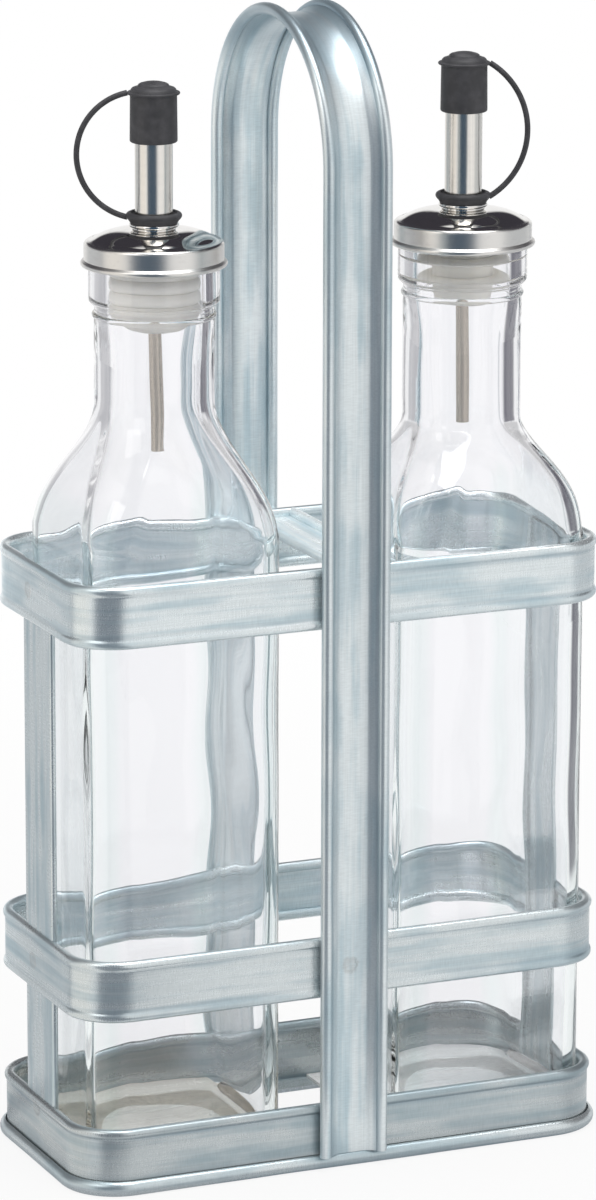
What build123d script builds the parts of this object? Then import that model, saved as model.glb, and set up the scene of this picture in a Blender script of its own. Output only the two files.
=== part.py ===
"""Cruet set: two square glass bottles with pourers, standing in a galvanised carrier.

Row frame: millimetres, +Z up, origin on the floor under the middle of the carrier.
X runs along the carrier's long side, -Y is its front.
"""
from build123d import *
from dataclasses import dataclass
from math import cos, pi, radians, sin, sqrt
import os

os.makedirs("parts", exist_ok=True)

# ---- Carrier: rolled galvanised strip, spot welded -------------------------
BOTTLE_SPACING = 27.8      # between the two bottles, along X
BAY_PLAY = 11.8            # room in the bands beyond a bottle, front to back
BAND_CORNER = 12.0         # outside corner radius of a band
SHEET = 0.6                # sheet thickness of the strip
STRIP_WIDTH = 14.2         # height of the middle and top bands, width of the divider
HEM = 2.4                  # diameter of the strip's rolled edges
HEM_PROUD = 0.45           # how far a rolled edge stands out of the web
HEM_BLEND = 1.0            # hollow between a rolled edge and the web
MIDDLE_BAND_FOOT = 40.8    # lower edge of the middle band
TOP_BAND_FOOT = 127.2      # lower edge of the top band
BOTTOM_BAND_TOP = 15.4     # upper edge of the bottom band

RIM_BEAD = 3.4             # diameter of the wired edge round the base
RIM_PROUD = 1.5            # how far the wired edge stands out of the bands
RIM_GAP = 0.5              # groove between the wired edge and the bottom band
LEDGE = 0.8                # thickness of the ledge that carries the bottom band
LEDGE_WIDTH = 7.0          # how far the ledge reaches in
PLATE = 0.8                # thickness of the plates under the bottles
PLATE_MARGIN = 0.5         # plate beyond the bottle, between the bottles
PLATE_PLAY = 0.2           # plate edge to the band around it

END_STRAP_WIDTH = 17.0
END_STRAP_HEM = 1.5
STRAP_PLAY = 0.2           # play at the straps' edges, where the rolled edges are flattened
DIVIDER_GAP = 3.3          # divider strap to the right bottle

HANDLE_WIDTH = 16.6
HANDLE_WEB = 7.4           # flat middle of the handle
HANDLE_SHEET = 0.7
HANDLE_RISE = 1.6          # how far the sloping sides rise from the web to the rolls
HANDLE_BEND = 0.8          # bend between the web and a sloping side
HANDLE_ROLL = 2.8          # diameter of the handle's rolled edges
HANDLE_DEPTH = 3.2         # inside of the web to the crest of the rolls
HANDLE_TOP = 264.5         # crest of the handle above the floor
WELD_DIAMETER = 4.5

# ---- Bottles ---------------------------------------------------------------
BOTTLE_WIDTH = 47.0
BOTTLE_CORNER = 9.0
GLASS = 2.8                # wall thickness
GLASS_FLOOR = 5.5          # thickness of the base
BASE_ROUND = 3.0           # round at the bottom edge
PUSH_UP = 0.9              # depth of the hollow under the base
PUSH_UP_RADIUS = 15.0
SHOULDER_HEIGHT = 31.0     # from the square body to the round neck
SHOULDER_STEPS = 5
SHOULDER_FULLNESS = 1.3    # above 1 keeps the shoulder full near the body
NECK_RADIUS = 13.5
NECK_FLAT = 0.25           # half the flat that the mould leaves on each side of the neck
COLLAR_RADIUS = 14.75
COLLAR_FOOT = 198.2
COLLAR_BEVEL = 1.3
BEAD_HEIGHT = 196.4        # middle of the thin ring under the collar
BEAD_RADIUS = 0.9
LIP = 210.0                # top of the glass
LIP_ROUND = 1.0

# ---- Pourers ---------------------------------------------------------------
SLIDE_PLAY = 0.08          # radial play of a sliding or turning fit
STOPPER_FOOT = 192.0
STOPPER_CORE = 6.2         # radius
STOPPER_TIP = 5.0          # radius at the foot
STOPPER_HEAD = 14.9        # radius of the disc on the glass
STOPPER_HEAD_HEIGHT = 2.2
FIN = 1.3                  # thickness of a sealing fin
FIN_HEIGHTS = (196.3, 199.8, 203.3, 206.8)
FOOT_WEB = 1.5
SPOUT_RADIUS = 4.25
SPOUT_WALL = 0.5
SPOUT_FOOT = 200.0
SPOUT_TOP = 241.0
POUR_HOLE = 1.0            # radius of the holes beside the air tube
POUR_HOLES = 4
POUR_HOLE_GAP = 0.2        # web between the air tube and a pouring hole
AIR_TUBE_RADIUS = 1.5
AIR_TUBE_WALL = 0.35
AIR_TUBE_FOOT = 164.9
COVER_SHEET = 0.5
COVER_RADIUS = 15.75
COVER_FLANGE = 16.5
COVER_FOOT = 207.4
COVER_SHOULDER = 213.1     # where the skirt turns into the dome
COVER_ROUND = 1.0          # round between the skirt and the dome
COVER_CROWN = 215.0
COVER_DROP = 0.22          # share of the dome's fall that is reached half way out
FERRULE_RADIUS = 5.25
FERRULE_RIBS = 2
FERRULE_TOP = 216.9
RING_RADIUS = 6.3
RING_HEIGHT = 2.5
RING_ROUND = 0.8
RING_PLAY = 0.1            # gap between the ring and the ferrule
STRAP_RADIUS = 0.65
CAP_RADIUS = 5.35          # at the open end
CAP_DRAFT = 0.1
CAP_BODY = 10.7            # height under the lip
CAP_BORE_DEPTH = 6.1
LIP_RADIUS = 5.95
CAP_LIP = 0.6
CAP_DOME = 2.4
CAP_ROUND = 0.5
STRAP_GAP = 0.3


@dataclass(frozen=True)
class Station:
    """Where one bottle stands, and how its neck and rubber cap sit."""
    name: str
    side: int              # -1 at the left end of the carrier, 1 at the right end
    end_gap: float         # bottle to the bands at its end
    front_gap: float       # bottle to the bands at the front
    shoulder_foot: float   # top of the square body
    cap_foot: float        # open end of the rubber cap
    strap_turn: float      # way the rubber strap points, in degrees from +X
    strap_reach: float     # furthest point of the strap's centre line from the spout

    @property
    def x(self):
        """Axis of the bottle, along the carrier."""
        return self.side * (INSIDE_X - self.end_gap - BOTTLE_WIDTH / 2)

    @property
    def y(self):
        """Axis of the bottle, across the carrier."""
        return self.front_gap + BOTTLE_WIDTH / 2 - INSIDE_Y


STATIONS = (
    Station("left", -1, 5.0, 4.9, 147.0, 235.2, 157.0, 17.2),
    Station("right", 1, 2.0, 2.4, 137.2, 237.9, -23.0, 14.5),
)

INSIDE_X = BOTTLE_WIDTH + (BOTTLE_SPACING + sum(station.end_gap for station in STATIONS)) / 2
INSIDE_Y = (BOTTLE_WIDTH + BAY_PLAY) / 2
BAND_LENGTH = 2 * (INSIDE_X + SHEET)
BAND_DEPTH = 2 * (INSIDE_Y + SHEET)
DIVIDER_X = STATIONS[1].x - BOTTLE_WIDTH / 2 - DIVIDER_GAP - STRIP_WIDTH / 2
BOTTLE_FOOT = LEDGE + PLATE
RIM_CENTRE = RIM_PROUD - RIM_BEAD / 2
RIM_TOP = RIM_BEAD / 2 + sqrt((RIM_BEAD / 2) ** 2 - (RIM_GAP - RIM_CENTRE) ** 2)
HEM_CENTRE = HEM_PROUD - HEM / 2
TOP_BAND_TOP = TOP_BAND_FOOT + STRIP_WIDTH
UNDER_TOP_HEM = TOP_BAND_TOP - HEM
LEG_INSIDE = BAND_DEPTH / 2 + HEM_PROUD
COVER_BEAD = (COVER_FLANGE - COVER_RADIUS + COVER_SHEET) / 2


def save(piece, name):
    """Label a finished piece and write its STEP file."""
    piece.part.label = name
    export_step(piece.part, f"parts/{name}.step")


def ring_path():
    """Rounded rectangle on the outside of the bands' web, from the middle of the front."""
    x = BAND_LENGTH / 2
    y = BAND_DEPTH / 2
    with BuildLine() as path:
        Polyline((0, -y), (x, -y), (x, y), (-x, y), (-x, -y), close=True)
        fillet(path.vertices().filter_by(lambda v: abs(v.X) > x / 2), radius=BAND_CORNER)
    return path.wire()


# Plane across the front web: local x points out of the carrier, local y up.
FRONT_SECTION = Plane(origin=(0, -BAND_DEPTH / 2, 0), x_dir=(0, -1, 0), z_dir=(-1, 0, 0))


# ---- Base ------------------------------------------------------------------
with BuildPart() as base_rim:
    with BuildSketch(FRONT_SECTION) as bead:
        with Locations((RIM_CENTRE, RIM_BEAD / 2)):
            Circle(RIM_BEAD / 2)
        with Locations((RIM_GAP, 0)):
            Rectangle(2 * RIM_BEAD, 4 * RIM_BEAD, align=(Align.MAX, Align.CENTER), mode=Mode.SUBTRACT)
        with Locations((RIM_GAP, 0)):
            Rectangle(LEDGE_WIDTH + RIM_GAP, LEDGE, align=(Align.MAX, Align.MIN))
    sweep(path=ring_path())
save(base_rim, "base_rim")


def base_plate(station):
    """Flat plate on the ledge, under one bottle and open towards the other."""
    outer = INSIDE_X - 2 * STRAP_PLAY - END_STRAP_HEM
    inner = abs(station.x) - BOTTLE_WIDTH / 2 - PLATE_MARGIN
    corner = BAND_CORNER - SHEET - PLATE_PLAY
    with BuildPart() as plate:
        with BuildSketch(Plane.XY.offset(LEDGE)):
            with Locations((station.side * (outer + inner) / 2, 0)):
                blank = Rectangle(outer - inner, 2 * (INSIDE_Y - PLATE_PLAY))
            ends = blank.vertices().sort_by(Axis.X)
            fillet(ends[-2:] if station.side > 0 else ends[:2], radius=corner)
        extrude(amount=PLATE)
    return plate


# ---- Bands -----------------------------------------------------------------
def band(foot, top, low_hem):
    """Hoop of strip with rolled edges, flattened where the end straps pass inside."""
    rolls = [top - HEM / 2]
    web_foot = foot
    if low_hem:
        rolls.append(foot + HEM / 2)
        web_foot = foot + HEM / 2
    with BuildPart() as hoop:
        with BuildSketch(FRONT_SECTION) as strip:
            with Locations((0, web_foot)):
                Rectangle(SHEET, top - HEM / 2 - web_foot, align=(Align.MAX, Align.MIN))
            with Locations(*[(HEM_CENTRE, roll) for roll in rolls]):
                Circle(HEM / 2)
            hollows = strip.vertices().filter_by(
                lambda v: abs(v.X) < 0.001 and web_foot + SHEET < v.Y < top - HEM / 2)
            fillet(hollows, radius=HEM_BLEND)
        sweep(path=ring_path())
        strap_top = min(top, UNDER_TOP_HEM)
        with BuildSketch(Plane.XY.offset(foot)):
            with Locations((-INSIDE_X, 0), (INSIDE_X, 0)):
                Rectangle(2 * HEM, END_STRAP_WIDTH + 2 * STRAP_PLAY)
            with Locations((0, 0)):
                Rectangle(2 * INSIDE_X, BAND_DEPTH, mode=Mode.INTERSECT)
        extrude(amount=strap_top - foot, mode=Mode.SUBTRACT)
    return hoop


save(band(LEDGE, BOTTOM_BAND_TOP, low_hem=False), "bottom_band")
save(band(MIDDLE_BAND_FOOT, MIDDLE_BAND_FOOT + STRIP_WIDTH, low_hem=True), "middle_band")
save(band(TOP_BAND_FOOT, TOP_BAND_TOP, low_hem=True), "top_band")


def strip_length(plane, width, hem, length):
    """Straight strip with both edges rolled to its inner side, extruded along the plane."""
    with BuildPart() as strip:
        with BuildSketch(plane):
            Rectangle(width - hem, SHEET, align=(Align.CENTER, Align.MIN))
            with Locations(((width - hem) / 2, hem / 2), ((hem - width) / 2, hem / 2)):
                Circle(hem / 2)
        extrude(amount=length)
    return strip


for side, name in ((-1, "left_end_strap"), (1, "right_end_strap")):
    foot = Plane(origin=(side * INSIDE_X, 0, LEDGE), x_dir=(0, side, 0), z_dir=(0, 0, 1))
    save(strip_length(foot, END_STRAP_WIDTH, END_STRAP_HEM, UNDER_TOP_HEM - LEDGE), name)

front_end = Plane(origin=(DIVIDER_X, -INSIDE_Y, UNDER_TOP_HEM), x_dir=(-1, 0, 0), z_dir=(0, 1, 0))
save(strip_length(front_end, STRIP_WIDTH, HEM, 2 * INSIDE_Y), "divider_strap")

# ---- Handle ----------------------------------------------------------------
ARCH_CENTRE = HANDLE_TOP - HANDLE_DEPTH - LEG_INSIDE
with BuildPart() as carrying_handle:
    with BuildLine() as arch:
        leg = Line((0, -LEG_INSIDE, RIM_TOP), (0, -LEG_INSIDE, ARCH_CENTRE))
        ThreePointArc(leg @ 1, (0, 0, ARCH_CENTRE + LEG_INSIDE), (0, LEG_INSIDE, ARCH_CENTRE))
        Line((0, LEG_INSIDE, ARCH_CENTRE), (0, LEG_INSIDE, RIM_TOP))
    foot = Plane(origin=leg @ 0, x_dir=(-1, 0, 0), z_dir=(0, 0, 1))
    with BuildSketch(foot) as channel:
        web_x = HANDLE_WEB / 2
        roll_x = (HANDLE_WIDTH - HANDLE_ROLL) / 2
        side_x = roll_x - HANDLE_ROLL / 3
        with BuildLine():
            Polyline(
                (-side_x, HANDLE_RISE),
                (-web_x, 0),
                (web_x, 0),
                (side_x, HANDLE_RISE),
                (side_x, HANDLE_RISE + HANDLE_SHEET),
                (web_x, HANDLE_SHEET),
                (-web_x, HANDLE_SHEET),
                (-side_x, HANDLE_RISE + HANDLE_SHEET),
                close=True)
        make_face()
        fillet(channel.vertices().filter_by(lambda v: abs(v.X) < (web_x + side_x) / 2), radius=HANDLE_BEND)
        with Locations(*[(x, HANDLE_DEPTH - HANDLE_ROLL / 2) for x in (-roll_x, roll_x)]):
            Circle(HANDLE_ROLL / 2)
    sweep(path=arch.wire())
save(carrying_handle, "carrying_handle")

band_middles = (
    (LEDGE + BOTTOM_BAND_TOP) / 2,
    MIDDLE_BAND_FOOT + STRIP_WIDTH / 2,
    TOP_BAND_FOOT + STRIP_WIDTH / 2,
)
with BuildPart() as handle_welds:
    for middle in band_middles:
        for face in (-1, 1):
            with BuildSketch(Plane.XZ.offset(-face * BAND_DEPTH / 2)):
                with Locations((0, middle)):
                    Circle(WELD_DIAMETER / 2)
            extrude(amount=-face * HEM_PROUD)
save(handle_welds, "handle_welds")


# ---- Bottles ---------------------------------------------------------------
def shoulder_half_width(part_way, inset):
    """Half width of the shoulder, from 0 at the square body to 1 at the neck."""
    fall = (1 + cos(pi * part_way ** SHOULDER_FULLNESS)) / 2
    return NECK_RADIUS - inset + (BOTTLE_WIDTH / 2 - NECK_RADIUS) * fall


def glass_form(station, inset, foot, top):
    """Square body, shoulder and neck of one bottle, drawn in by an inset."""
    half = BOTTLE_WIDTH / 2 - inset
    corner = BOTTLE_CORNER - inset
    axis = Location((station.x, station.y))
    with BuildPart() as form:
        with BuildSketch(Plane.XY.offset(foot)):
            with Locations(axis):
                RectangleRounded(2 * half, 2 * half, corner)
        extrude(amount=station.shoulder_foot - foot)
        fillet(form.faces().sort_by(Axis.Z)[0].edges(), radius=BASE_ROUND)
        for step in range(SHOULDER_STEPS + 1):
            part_way = step / SHOULDER_STEPS
            width = shoulder_half_width(part_way, inset)
            bend = corner + (NECK_RADIUS - inset - corner) * sqrt(part_way)
            with BuildSketch(Plane.XY.offset(station.shoulder_foot + SHOULDER_HEIGHT * part_way)) as ring:
                with Locations(axis):
                    RectangleRounded(2 * width, 2 * width, min(bend, width - NECK_FLAT))
        loft()
        extrude(ring.sketch, amount=top - station.shoulder_foot - SHOULDER_HEIGHT)
    return form


def spin_plane(station):
    """Upright plane through one bottle's axis."""
    return Plane(origin=(station.x, station.y, 0), x_dir=(1, 0, 0), z_dir=(0, -1, 0))


def spin_axis(station):
    """Upright axis of one bottle."""
    return Axis((station.x, station.y, 0), (0, 0, 1))


def bottle(station):
    """Glass bottle with a thick base, a collar at the mouth and a hollow under the base."""
    cavity = glass_form(station, GLASS, BOTTLE_FOOT + GLASS_FLOOR, LIP)
    body = glass_form(station, 0, BOTTLE_FOOT, LIP)
    dome = (PUSH_UP_RADIUS ** 2 + PUSH_UP ** 2) / (2 * PUSH_UP)
    with BuildPart() as glass:
        add(body.part)
        with BuildSketch(spin_plane(station)):
            with BuildLine():
                Polyline(
                    (NECK_RADIUS - GLASS / 2, COLLAR_FOOT),
                    (NECK_RADIUS, COLLAR_FOOT),
                    (COLLAR_RADIUS, COLLAR_FOOT + COLLAR_BEVEL),
                    (COLLAR_RADIUS, LIP),
                    (NECK_RADIUS - GLASS / 2, LIP),
                    close=True)
            make_face()
            with Locations((NECK_RADIUS - BEAD_RADIUS / 2, BEAD_HEIGHT)):
                Circle(BEAD_RADIUS)
        revolve(axis=spin_axis(station))
        add(cavity.part, mode=Mode.SUBTRACT)
        with Locations((station.x, station.y, 0)):
            with Locations((0, 0, BOTTLE_FOOT + PUSH_UP - dome)):
                Sphere(dome, mode=Mode.SUBTRACT)
        fillet(glass.faces().sort_by(Axis.Z)[-1].outer_wire().edges(), radius=LIP_ROUND)
    return glass


# ---- Pourer ----------------------------------------------------------------
def stopper(station):
    """Soft plastic stopper: ribbed core in the neck, disc on the glass, holes through its foot."""
    fin_radius = NECK_RADIUS - GLASS - SLIDE_PLAY
    head_top = LIP + STOPPER_HEAD_HEIGHT
    with BuildPart() as plug:
        with BuildSketch(spin_plane(station)):
            with BuildLine():
                Polyline(
                    (0, STOPPER_FOOT),
                    (STOPPER_TIP, STOPPER_FOOT),
                    (STOPPER_CORE, SPOUT_FOOT),
                    (STOPPER_CORE, LIP),
                    (STOPPER_HEAD, LIP),
                    (STOPPER_HEAD, head_top),
                    (STOPPER_CORE, head_top),
                    (0, head_top),
                    close=True)
            make_face()
            with Locations(*[(0, height) for height in FIN_HEIGHTS]):
                Rectangle(fin_radius, FIN, align=(Align.MIN, Align.CENTER))
        revolve(axis=spin_axis(station))
        with BuildSketch(Plane.XY.offset(SPOUT_FOOT)):
            with Locations((station.x, station.y)):
                Circle(SPOUT_RADIUS)
        extrude(amount=head_top - SPOUT_FOOT, mode=Mode.SUBTRACT)
        with BuildSketch(Plane.XY.offset(STOPPER_FOOT + FOOT_WEB)):
            with Locations((station.x, station.y)):
                Circle(SPOUT_RADIUS - SPOUT_WALL)
        extrude(amount=SPOUT_FOOT - STOPPER_FOOT - FOOT_WEB, mode=Mode.SUBTRACT)
        with BuildSketch(Plane.XY.offset(STOPPER_FOOT)):
            with Locations((station.x, station.y)):
                Circle(AIR_TUBE_RADIUS)
                with PolarLocations(AIR_TUBE_RADIUS + POUR_HOLE_GAP + POUR_HOLE, POUR_HOLES):
                    Circle(POUR_HOLE)
        extrude(amount=FOOT_WEB, mode=Mode.SUBTRACT)
    return plug


def cover_form(inset):
    """Half section of the cover above its flange, drawn in by an inset and filled to its hole."""
    side = COVER_RADIUS - inset
    top = COVER_CROWN - inset
    fall = COVER_CROWN - COVER_SHOULDER
    edge_radius = COVER_RADIUS - COVER_ROUND
    with BuildLine() as outline:
        skirt = Line((side, COVER_FOOT + COVER_BEAD), (side, COVER_SHOULDER - COVER_ROUND))
        edge = RadiusArc(skirt @ 1, (edge_radius, COVER_SHOULDER - inset), inset - COVER_ROUND)
        crown = ThreePointArc(
            edge @ 1,
            ((edge_radius + SPOUT_RADIUS) / 2, top - fall * COVER_DROP),
            (SPOUT_RADIUS, top))
        Polyline(crown @ 1, (SPOUT_RADIUS, COVER_FOOT + COVER_BEAD), skirt @ 0)
    return make_face(outline.edges())


def cover(station):
    """Pressed steel cover: rolled flange, skirt over the collar, shallow dome with a spout hole."""
    with BuildPart() as lid:
        with BuildSketch(spin_plane(station)):
            add(cover_form(0))
            add(cover_form(COVER_SHEET), mode=Mode.SUBTRACT)
            with Locations((COVER_FLANGE - COVER_BEAD, COVER_FOOT + COVER_BEAD)):
                Circle(COVER_BEAD)
        revolve(axis=spin_axis(station))
    return lid


def spout(station):
    """Straight steel tube that the oil runs through."""
    with BuildPart() as tube:
        with BuildSketch(Plane.XY.offset(SPOUT_FOOT)):
            with Locations((station.x, station.y)):
                Circle(SPOUT_RADIUS)
                Circle(SPOUT_RADIUS - SPOUT_WALL, mode=Mode.SUBTRACT)
        extrude(amount=SPOUT_TOP - SPOUT_FOOT)
    return tube


def ferrule(station):
    """Grooved steel ring where the spout leaves the cover."""
    height = FERRULE_TOP - COVER_CROWN
    rib = height / FERRULE_RIBS / 2
    with BuildPart() as ring:
        with BuildSketch(spin_plane(station)):
            with Locations((SPOUT_RADIUS, COVER_CROWN)):
                Rectangle(FERRULE_RADIUS - SPOUT_RADIUS - rib, height, align=(Align.MIN, Align.MIN))
            levels = [COVER_CROWN + rib * (2 * count + 1) for count in range(FERRULE_RIBS)]
            with Locations(*[(FERRULE_RADIUS - rib, level) for level in levels]):
                Circle(rib)
        revolve(axis=spin_axis(station))
    return ring


def air_tube(station):
    """Thin steel tube that lets air into the bottle."""
    with BuildPart() as tube:
        with BuildSketch(Plane.XY.offset(AIR_TUBE_FOOT)):
            with Locations((station.x, station.y)):
                Circle(AIR_TUBE_RADIUS)
                Circle(AIR_TUBE_RADIUS - AIR_TUBE_WALL, mode=Mode.SUBTRACT)
        extrude(amount=STOPPER_FOOT + 2 * FOOT_WEB - AIR_TUBE_FOOT)
    return tube


# ---- Rubber cap and its strap ----------------------------------------------
def tether_ring(station):
    """Rubber ring that turns on the spout, with a dished top."""
    foot = FERRULE_TOP + RING_PLAY
    bore = SPOUT_RADIUS + SLIDE_PLAY
    dish = foot + RING_HEIGHT * 0.6
    with BuildPart() as ring:
        with BuildSketch(spin_plane(station)):
            with BuildLine():
                outside = ThreePointArc(
                    (RING_RADIUS - RING_ROUND, foot),
                    (RING_RADIUS, foot + RING_HEIGHT / 2),
                    (RING_RADIUS - RING_ROUND, foot + RING_HEIGHT))
                Polyline(outside @ 1, (bore + RING_ROUND / 2, dish), (bore, dish), (bore, foot), outside @ 0)
            make_face()
        revolve(axis=spin_axis(station))
    return ring


def tether_strap(station):
    """Round rubber strap bowed out from the ring to the lip of the cap."""
    low = FERRULE_TOP + RING_PLAY + RING_HEIGHT / 2
    high = station.cap_foot + CAP_BODY + CAP_LIP / 2
    turn = radians(station.strap_turn)
    upright = Plane(
        origin=(station.x, station.y, 0),
        x_dir=(cos(turn), sin(turn), 0),
        z_dir=(sin(turn), -cos(turn), 0))
    with BuildPart() as strap:
        with BuildLine(upright) as bow:
            ThreePointArc(
                (RING_RADIUS - STRAP_RADIUS, low),
                (station.strap_reach, (low + high) / 2),
                (LIP_RADIUS + STRAP_GAP, high))
        with BuildSketch(Plane(origin=bow.wire() @ 0, z_dir=bow.wire() % 0)):
            Circle(STRAP_RADIUS)
        sweep(path=bow.wire())
        add(tether_ring(station).part, mode=Mode.SUBTRACT)
    return strap


def dust_cap(station):
    """Rubber cap: tapered cup over the spout, thin lip and a stepped dome."""
    bore = SPOUT_RADIUS + SLIDE_PLAY
    foot = station.cap_foot
    lip = foot + CAP_BODY
    top = lip + CAP_LIP + CAP_DOME
    dome_radius = (LIP_RADIUS ** 2 + CAP_DOME ** 2) / (2 * CAP_DOME)
    with BuildPart() as cap:
        with BuildSketch(spin_plane(station)):
            with BuildLine():
                side = Polyline(
                    (0, foot + CAP_BORE_DEPTH),
                    (bore, foot + CAP_BORE_DEPTH),
                    (bore, foot),
                    (CAP_RADIUS - CAP_ROUND, foot),
                    (CAP_RADIUS, foot + CAP_ROUND),
                    (CAP_RADIUS - CAP_DRAFT, lip),
                    (LIP_RADIUS, lip),
                    (LIP_RADIUS, lip + CAP_LIP))
                dome = RadiusArc(side @ 1, (0, top), -dome_radius)
                Line(dome @ 1, side @ 0)
            make_face()
        revolve(axis=spin_axis(station))
    return cap


for station in STATIONS:
    save(base_plate(station), f"{station.name}_base_plate")
    save(bottle(station), f"{station.name}_bottle")
    save(stopper(station), f"{station.name}_stopper")
    save(cover(station), f"{station.name}_pourer_cover")
    save(spout(station), f"{station.name}_spout")
    save(ferrule(station), f"{station.name}_spout_ferrule")
    save(air_tube(station), f"{station.name}_air_tube")
    save(tether_ring(station), f"{station.name}_tether_ring")
    save(tether_strap(station), f"{station.name}_tether_strap")
    save(dust_cap(station), f"{station.name}_dust_cap")
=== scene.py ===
"""Cruet set dressed for display: two square glass bottles with pourers in a galvanised carrier.

Sizes are in millimetres in the fields of each sub-assembly and become metres where a mesh is
made. X runs along the carrier's long side, -Y is its front and Z is up from the floor.
"""
from __future__ import annotations

import logging
from abc import ABC, abstractmethod
from dataclasses import dataclass
from enum import Enum
from math import atan2, cos, degrees, hypot, pi, radians, sin, sqrt, tau
from typing import Any, Sequence, Union

import bmesh
import bpy
import numpy as np
from mathutils import Matrix, Vector


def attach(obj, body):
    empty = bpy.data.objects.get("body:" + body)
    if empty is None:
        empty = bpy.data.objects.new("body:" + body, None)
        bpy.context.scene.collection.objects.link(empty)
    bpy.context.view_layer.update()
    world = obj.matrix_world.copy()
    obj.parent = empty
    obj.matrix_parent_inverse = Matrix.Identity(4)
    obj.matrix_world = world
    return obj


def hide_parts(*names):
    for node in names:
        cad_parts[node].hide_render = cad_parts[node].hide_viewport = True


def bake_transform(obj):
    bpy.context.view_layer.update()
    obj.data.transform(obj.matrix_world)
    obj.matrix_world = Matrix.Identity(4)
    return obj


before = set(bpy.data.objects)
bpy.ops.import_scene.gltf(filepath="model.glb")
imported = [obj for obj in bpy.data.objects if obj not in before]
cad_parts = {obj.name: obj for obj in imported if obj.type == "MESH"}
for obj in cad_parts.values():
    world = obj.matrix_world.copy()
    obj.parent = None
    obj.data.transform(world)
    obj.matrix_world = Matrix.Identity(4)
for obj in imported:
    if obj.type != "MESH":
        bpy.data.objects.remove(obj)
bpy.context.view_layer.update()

MM = 0.001
FULL_TURN = 360.0
SHARP_EDGE = radians(38)
POLE = 1e-6  # a ring with a smaller radius is one point
HAIR = 0.001  # straight part that is left when a rounded square becomes a circle
LOG = logging.getLogger("cruet_set")

Point = tuple[float, float, float]
Flat = tuple[float, float]
Colour = tuple[float, float, float, float]


# ---------------------------------------------------------------------------
# Places for the bottles
# ---------------------------------------------------------------------------
class Side(Enum):
    """The carrier's two places for a bottle."""

    LEFT = "left"
    RIGHT = "right"


@dataclass(frozen=True)
class Station:
    """Where one bottle stands, and the side that its pieces are named after."""

    side: Side
    x: float
    y: float

    @property
    def axis(self) -> Flat:
        """X and Y of the bottle's upright axis."""
        return self.x, self.y

    def called(self, piece: str) -> str:
        """Name of a piece, a solid or a body on this side."""
        return f"{self.side.value}_{piece}"

    def spot(self, height: float) -> Point:
        """Point of the axis at one height, in metres."""
        return self.x * MM, self.y * MM, height * MM


# ---------------------------------------------------------------------------
# Node trees written as expressions
# ---------------------------------------------------------------------------
class Ray(Enum):
    """Facts that the Light Path node gives about a ray."""

    CAMERA = "Is Camera Ray"
    SHADOW = "Is Shadow Ray"
    MIRRORED = "Is Glossy Ray"
    THROUGH = "Is Transmission Ray"
    WALLS_CROSSED = "Transmission Depth"


class Grain(Enum):
    """The axis that the brush lines of a strip cross; 1 marks it."""

    LEVEL = (0, 0, 1)
    ALONG_HANDLE = (1, 0, 0)
    ALONG_STRAP = (0, 1, 0)


@dataclass(frozen=True)
class Noise:
    """A seeded noise: its cycles per millimetre, how many finer layers it has, and its seed.

    The cycles are for X, Y and Z, or across the brush lines and along them before `along`.
    """

    cycles: tuple[float, ...]
    detail: float
    seed: float

    def along(self, grain: Grain, seed: float) -> Noise:
        """Draw the noise out along a grain.

        Args:
            grain: The grain.
            seed: What is added to the noise's own seed.

        Returns:
            The noise with cycles for X, Y and Z.
        """
        across, along = self.cycles
        cycles = tuple(across if crossed else along for crossed in grain.value)
        return Noise(cycles, self.detail, self.seed + seed)


class Wire:
    """An output socket that takes part in Python expressions; each operator adds a Math node."""

    def __init__(self, graph: Graph, socket: bpy.types.NodeSocket) -> None:
        """Wrap an output socket.

        Args:
            graph: The tree that the socket belongs to.
            socket: The output socket.
        """
        self.graph = graph
        self.socket = socket

    def __add__(self, other: Operand) -> Wire:
        """Sum of two values."""
        return self.graph.math("ADD", self, other)

    def __radd__(self, other: Operand) -> Wire:
        """Sum of two values, from the right."""
        return self.graph.math("ADD", other, self)

    def __sub__(self, other: Operand) -> Wire:
        """Difference of two values."""
        return self.graph.math("SUBTRACT", self, other)

    def __rsub__(self, other: Operand) -> Wire:
        """Difference of two values, from the right."""
        return self.graph.math("SUBTRACT", other, self)

    def __mul__(self, other: Operand) -> Wire:
        """Product of two values."""
        return self.graph.math("MULTIPLY", self, other)

    def __rmul__(self, other: Operand) -> Wire:
        """Product of two values, from the right."""
        return self.graph.math("MULTIPLY", other, self)

    def __abs__(self) -> Wire:
        """Size of a value."""
        return self.graph.math("ABSOLUTE", self)

    def sibling(self, output: str) -> Wire:
        """Another output of the same node."""
        return Wire(self.graph, self.socket.node.outputs[output])


Operand = Union[Wire, float]


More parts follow.
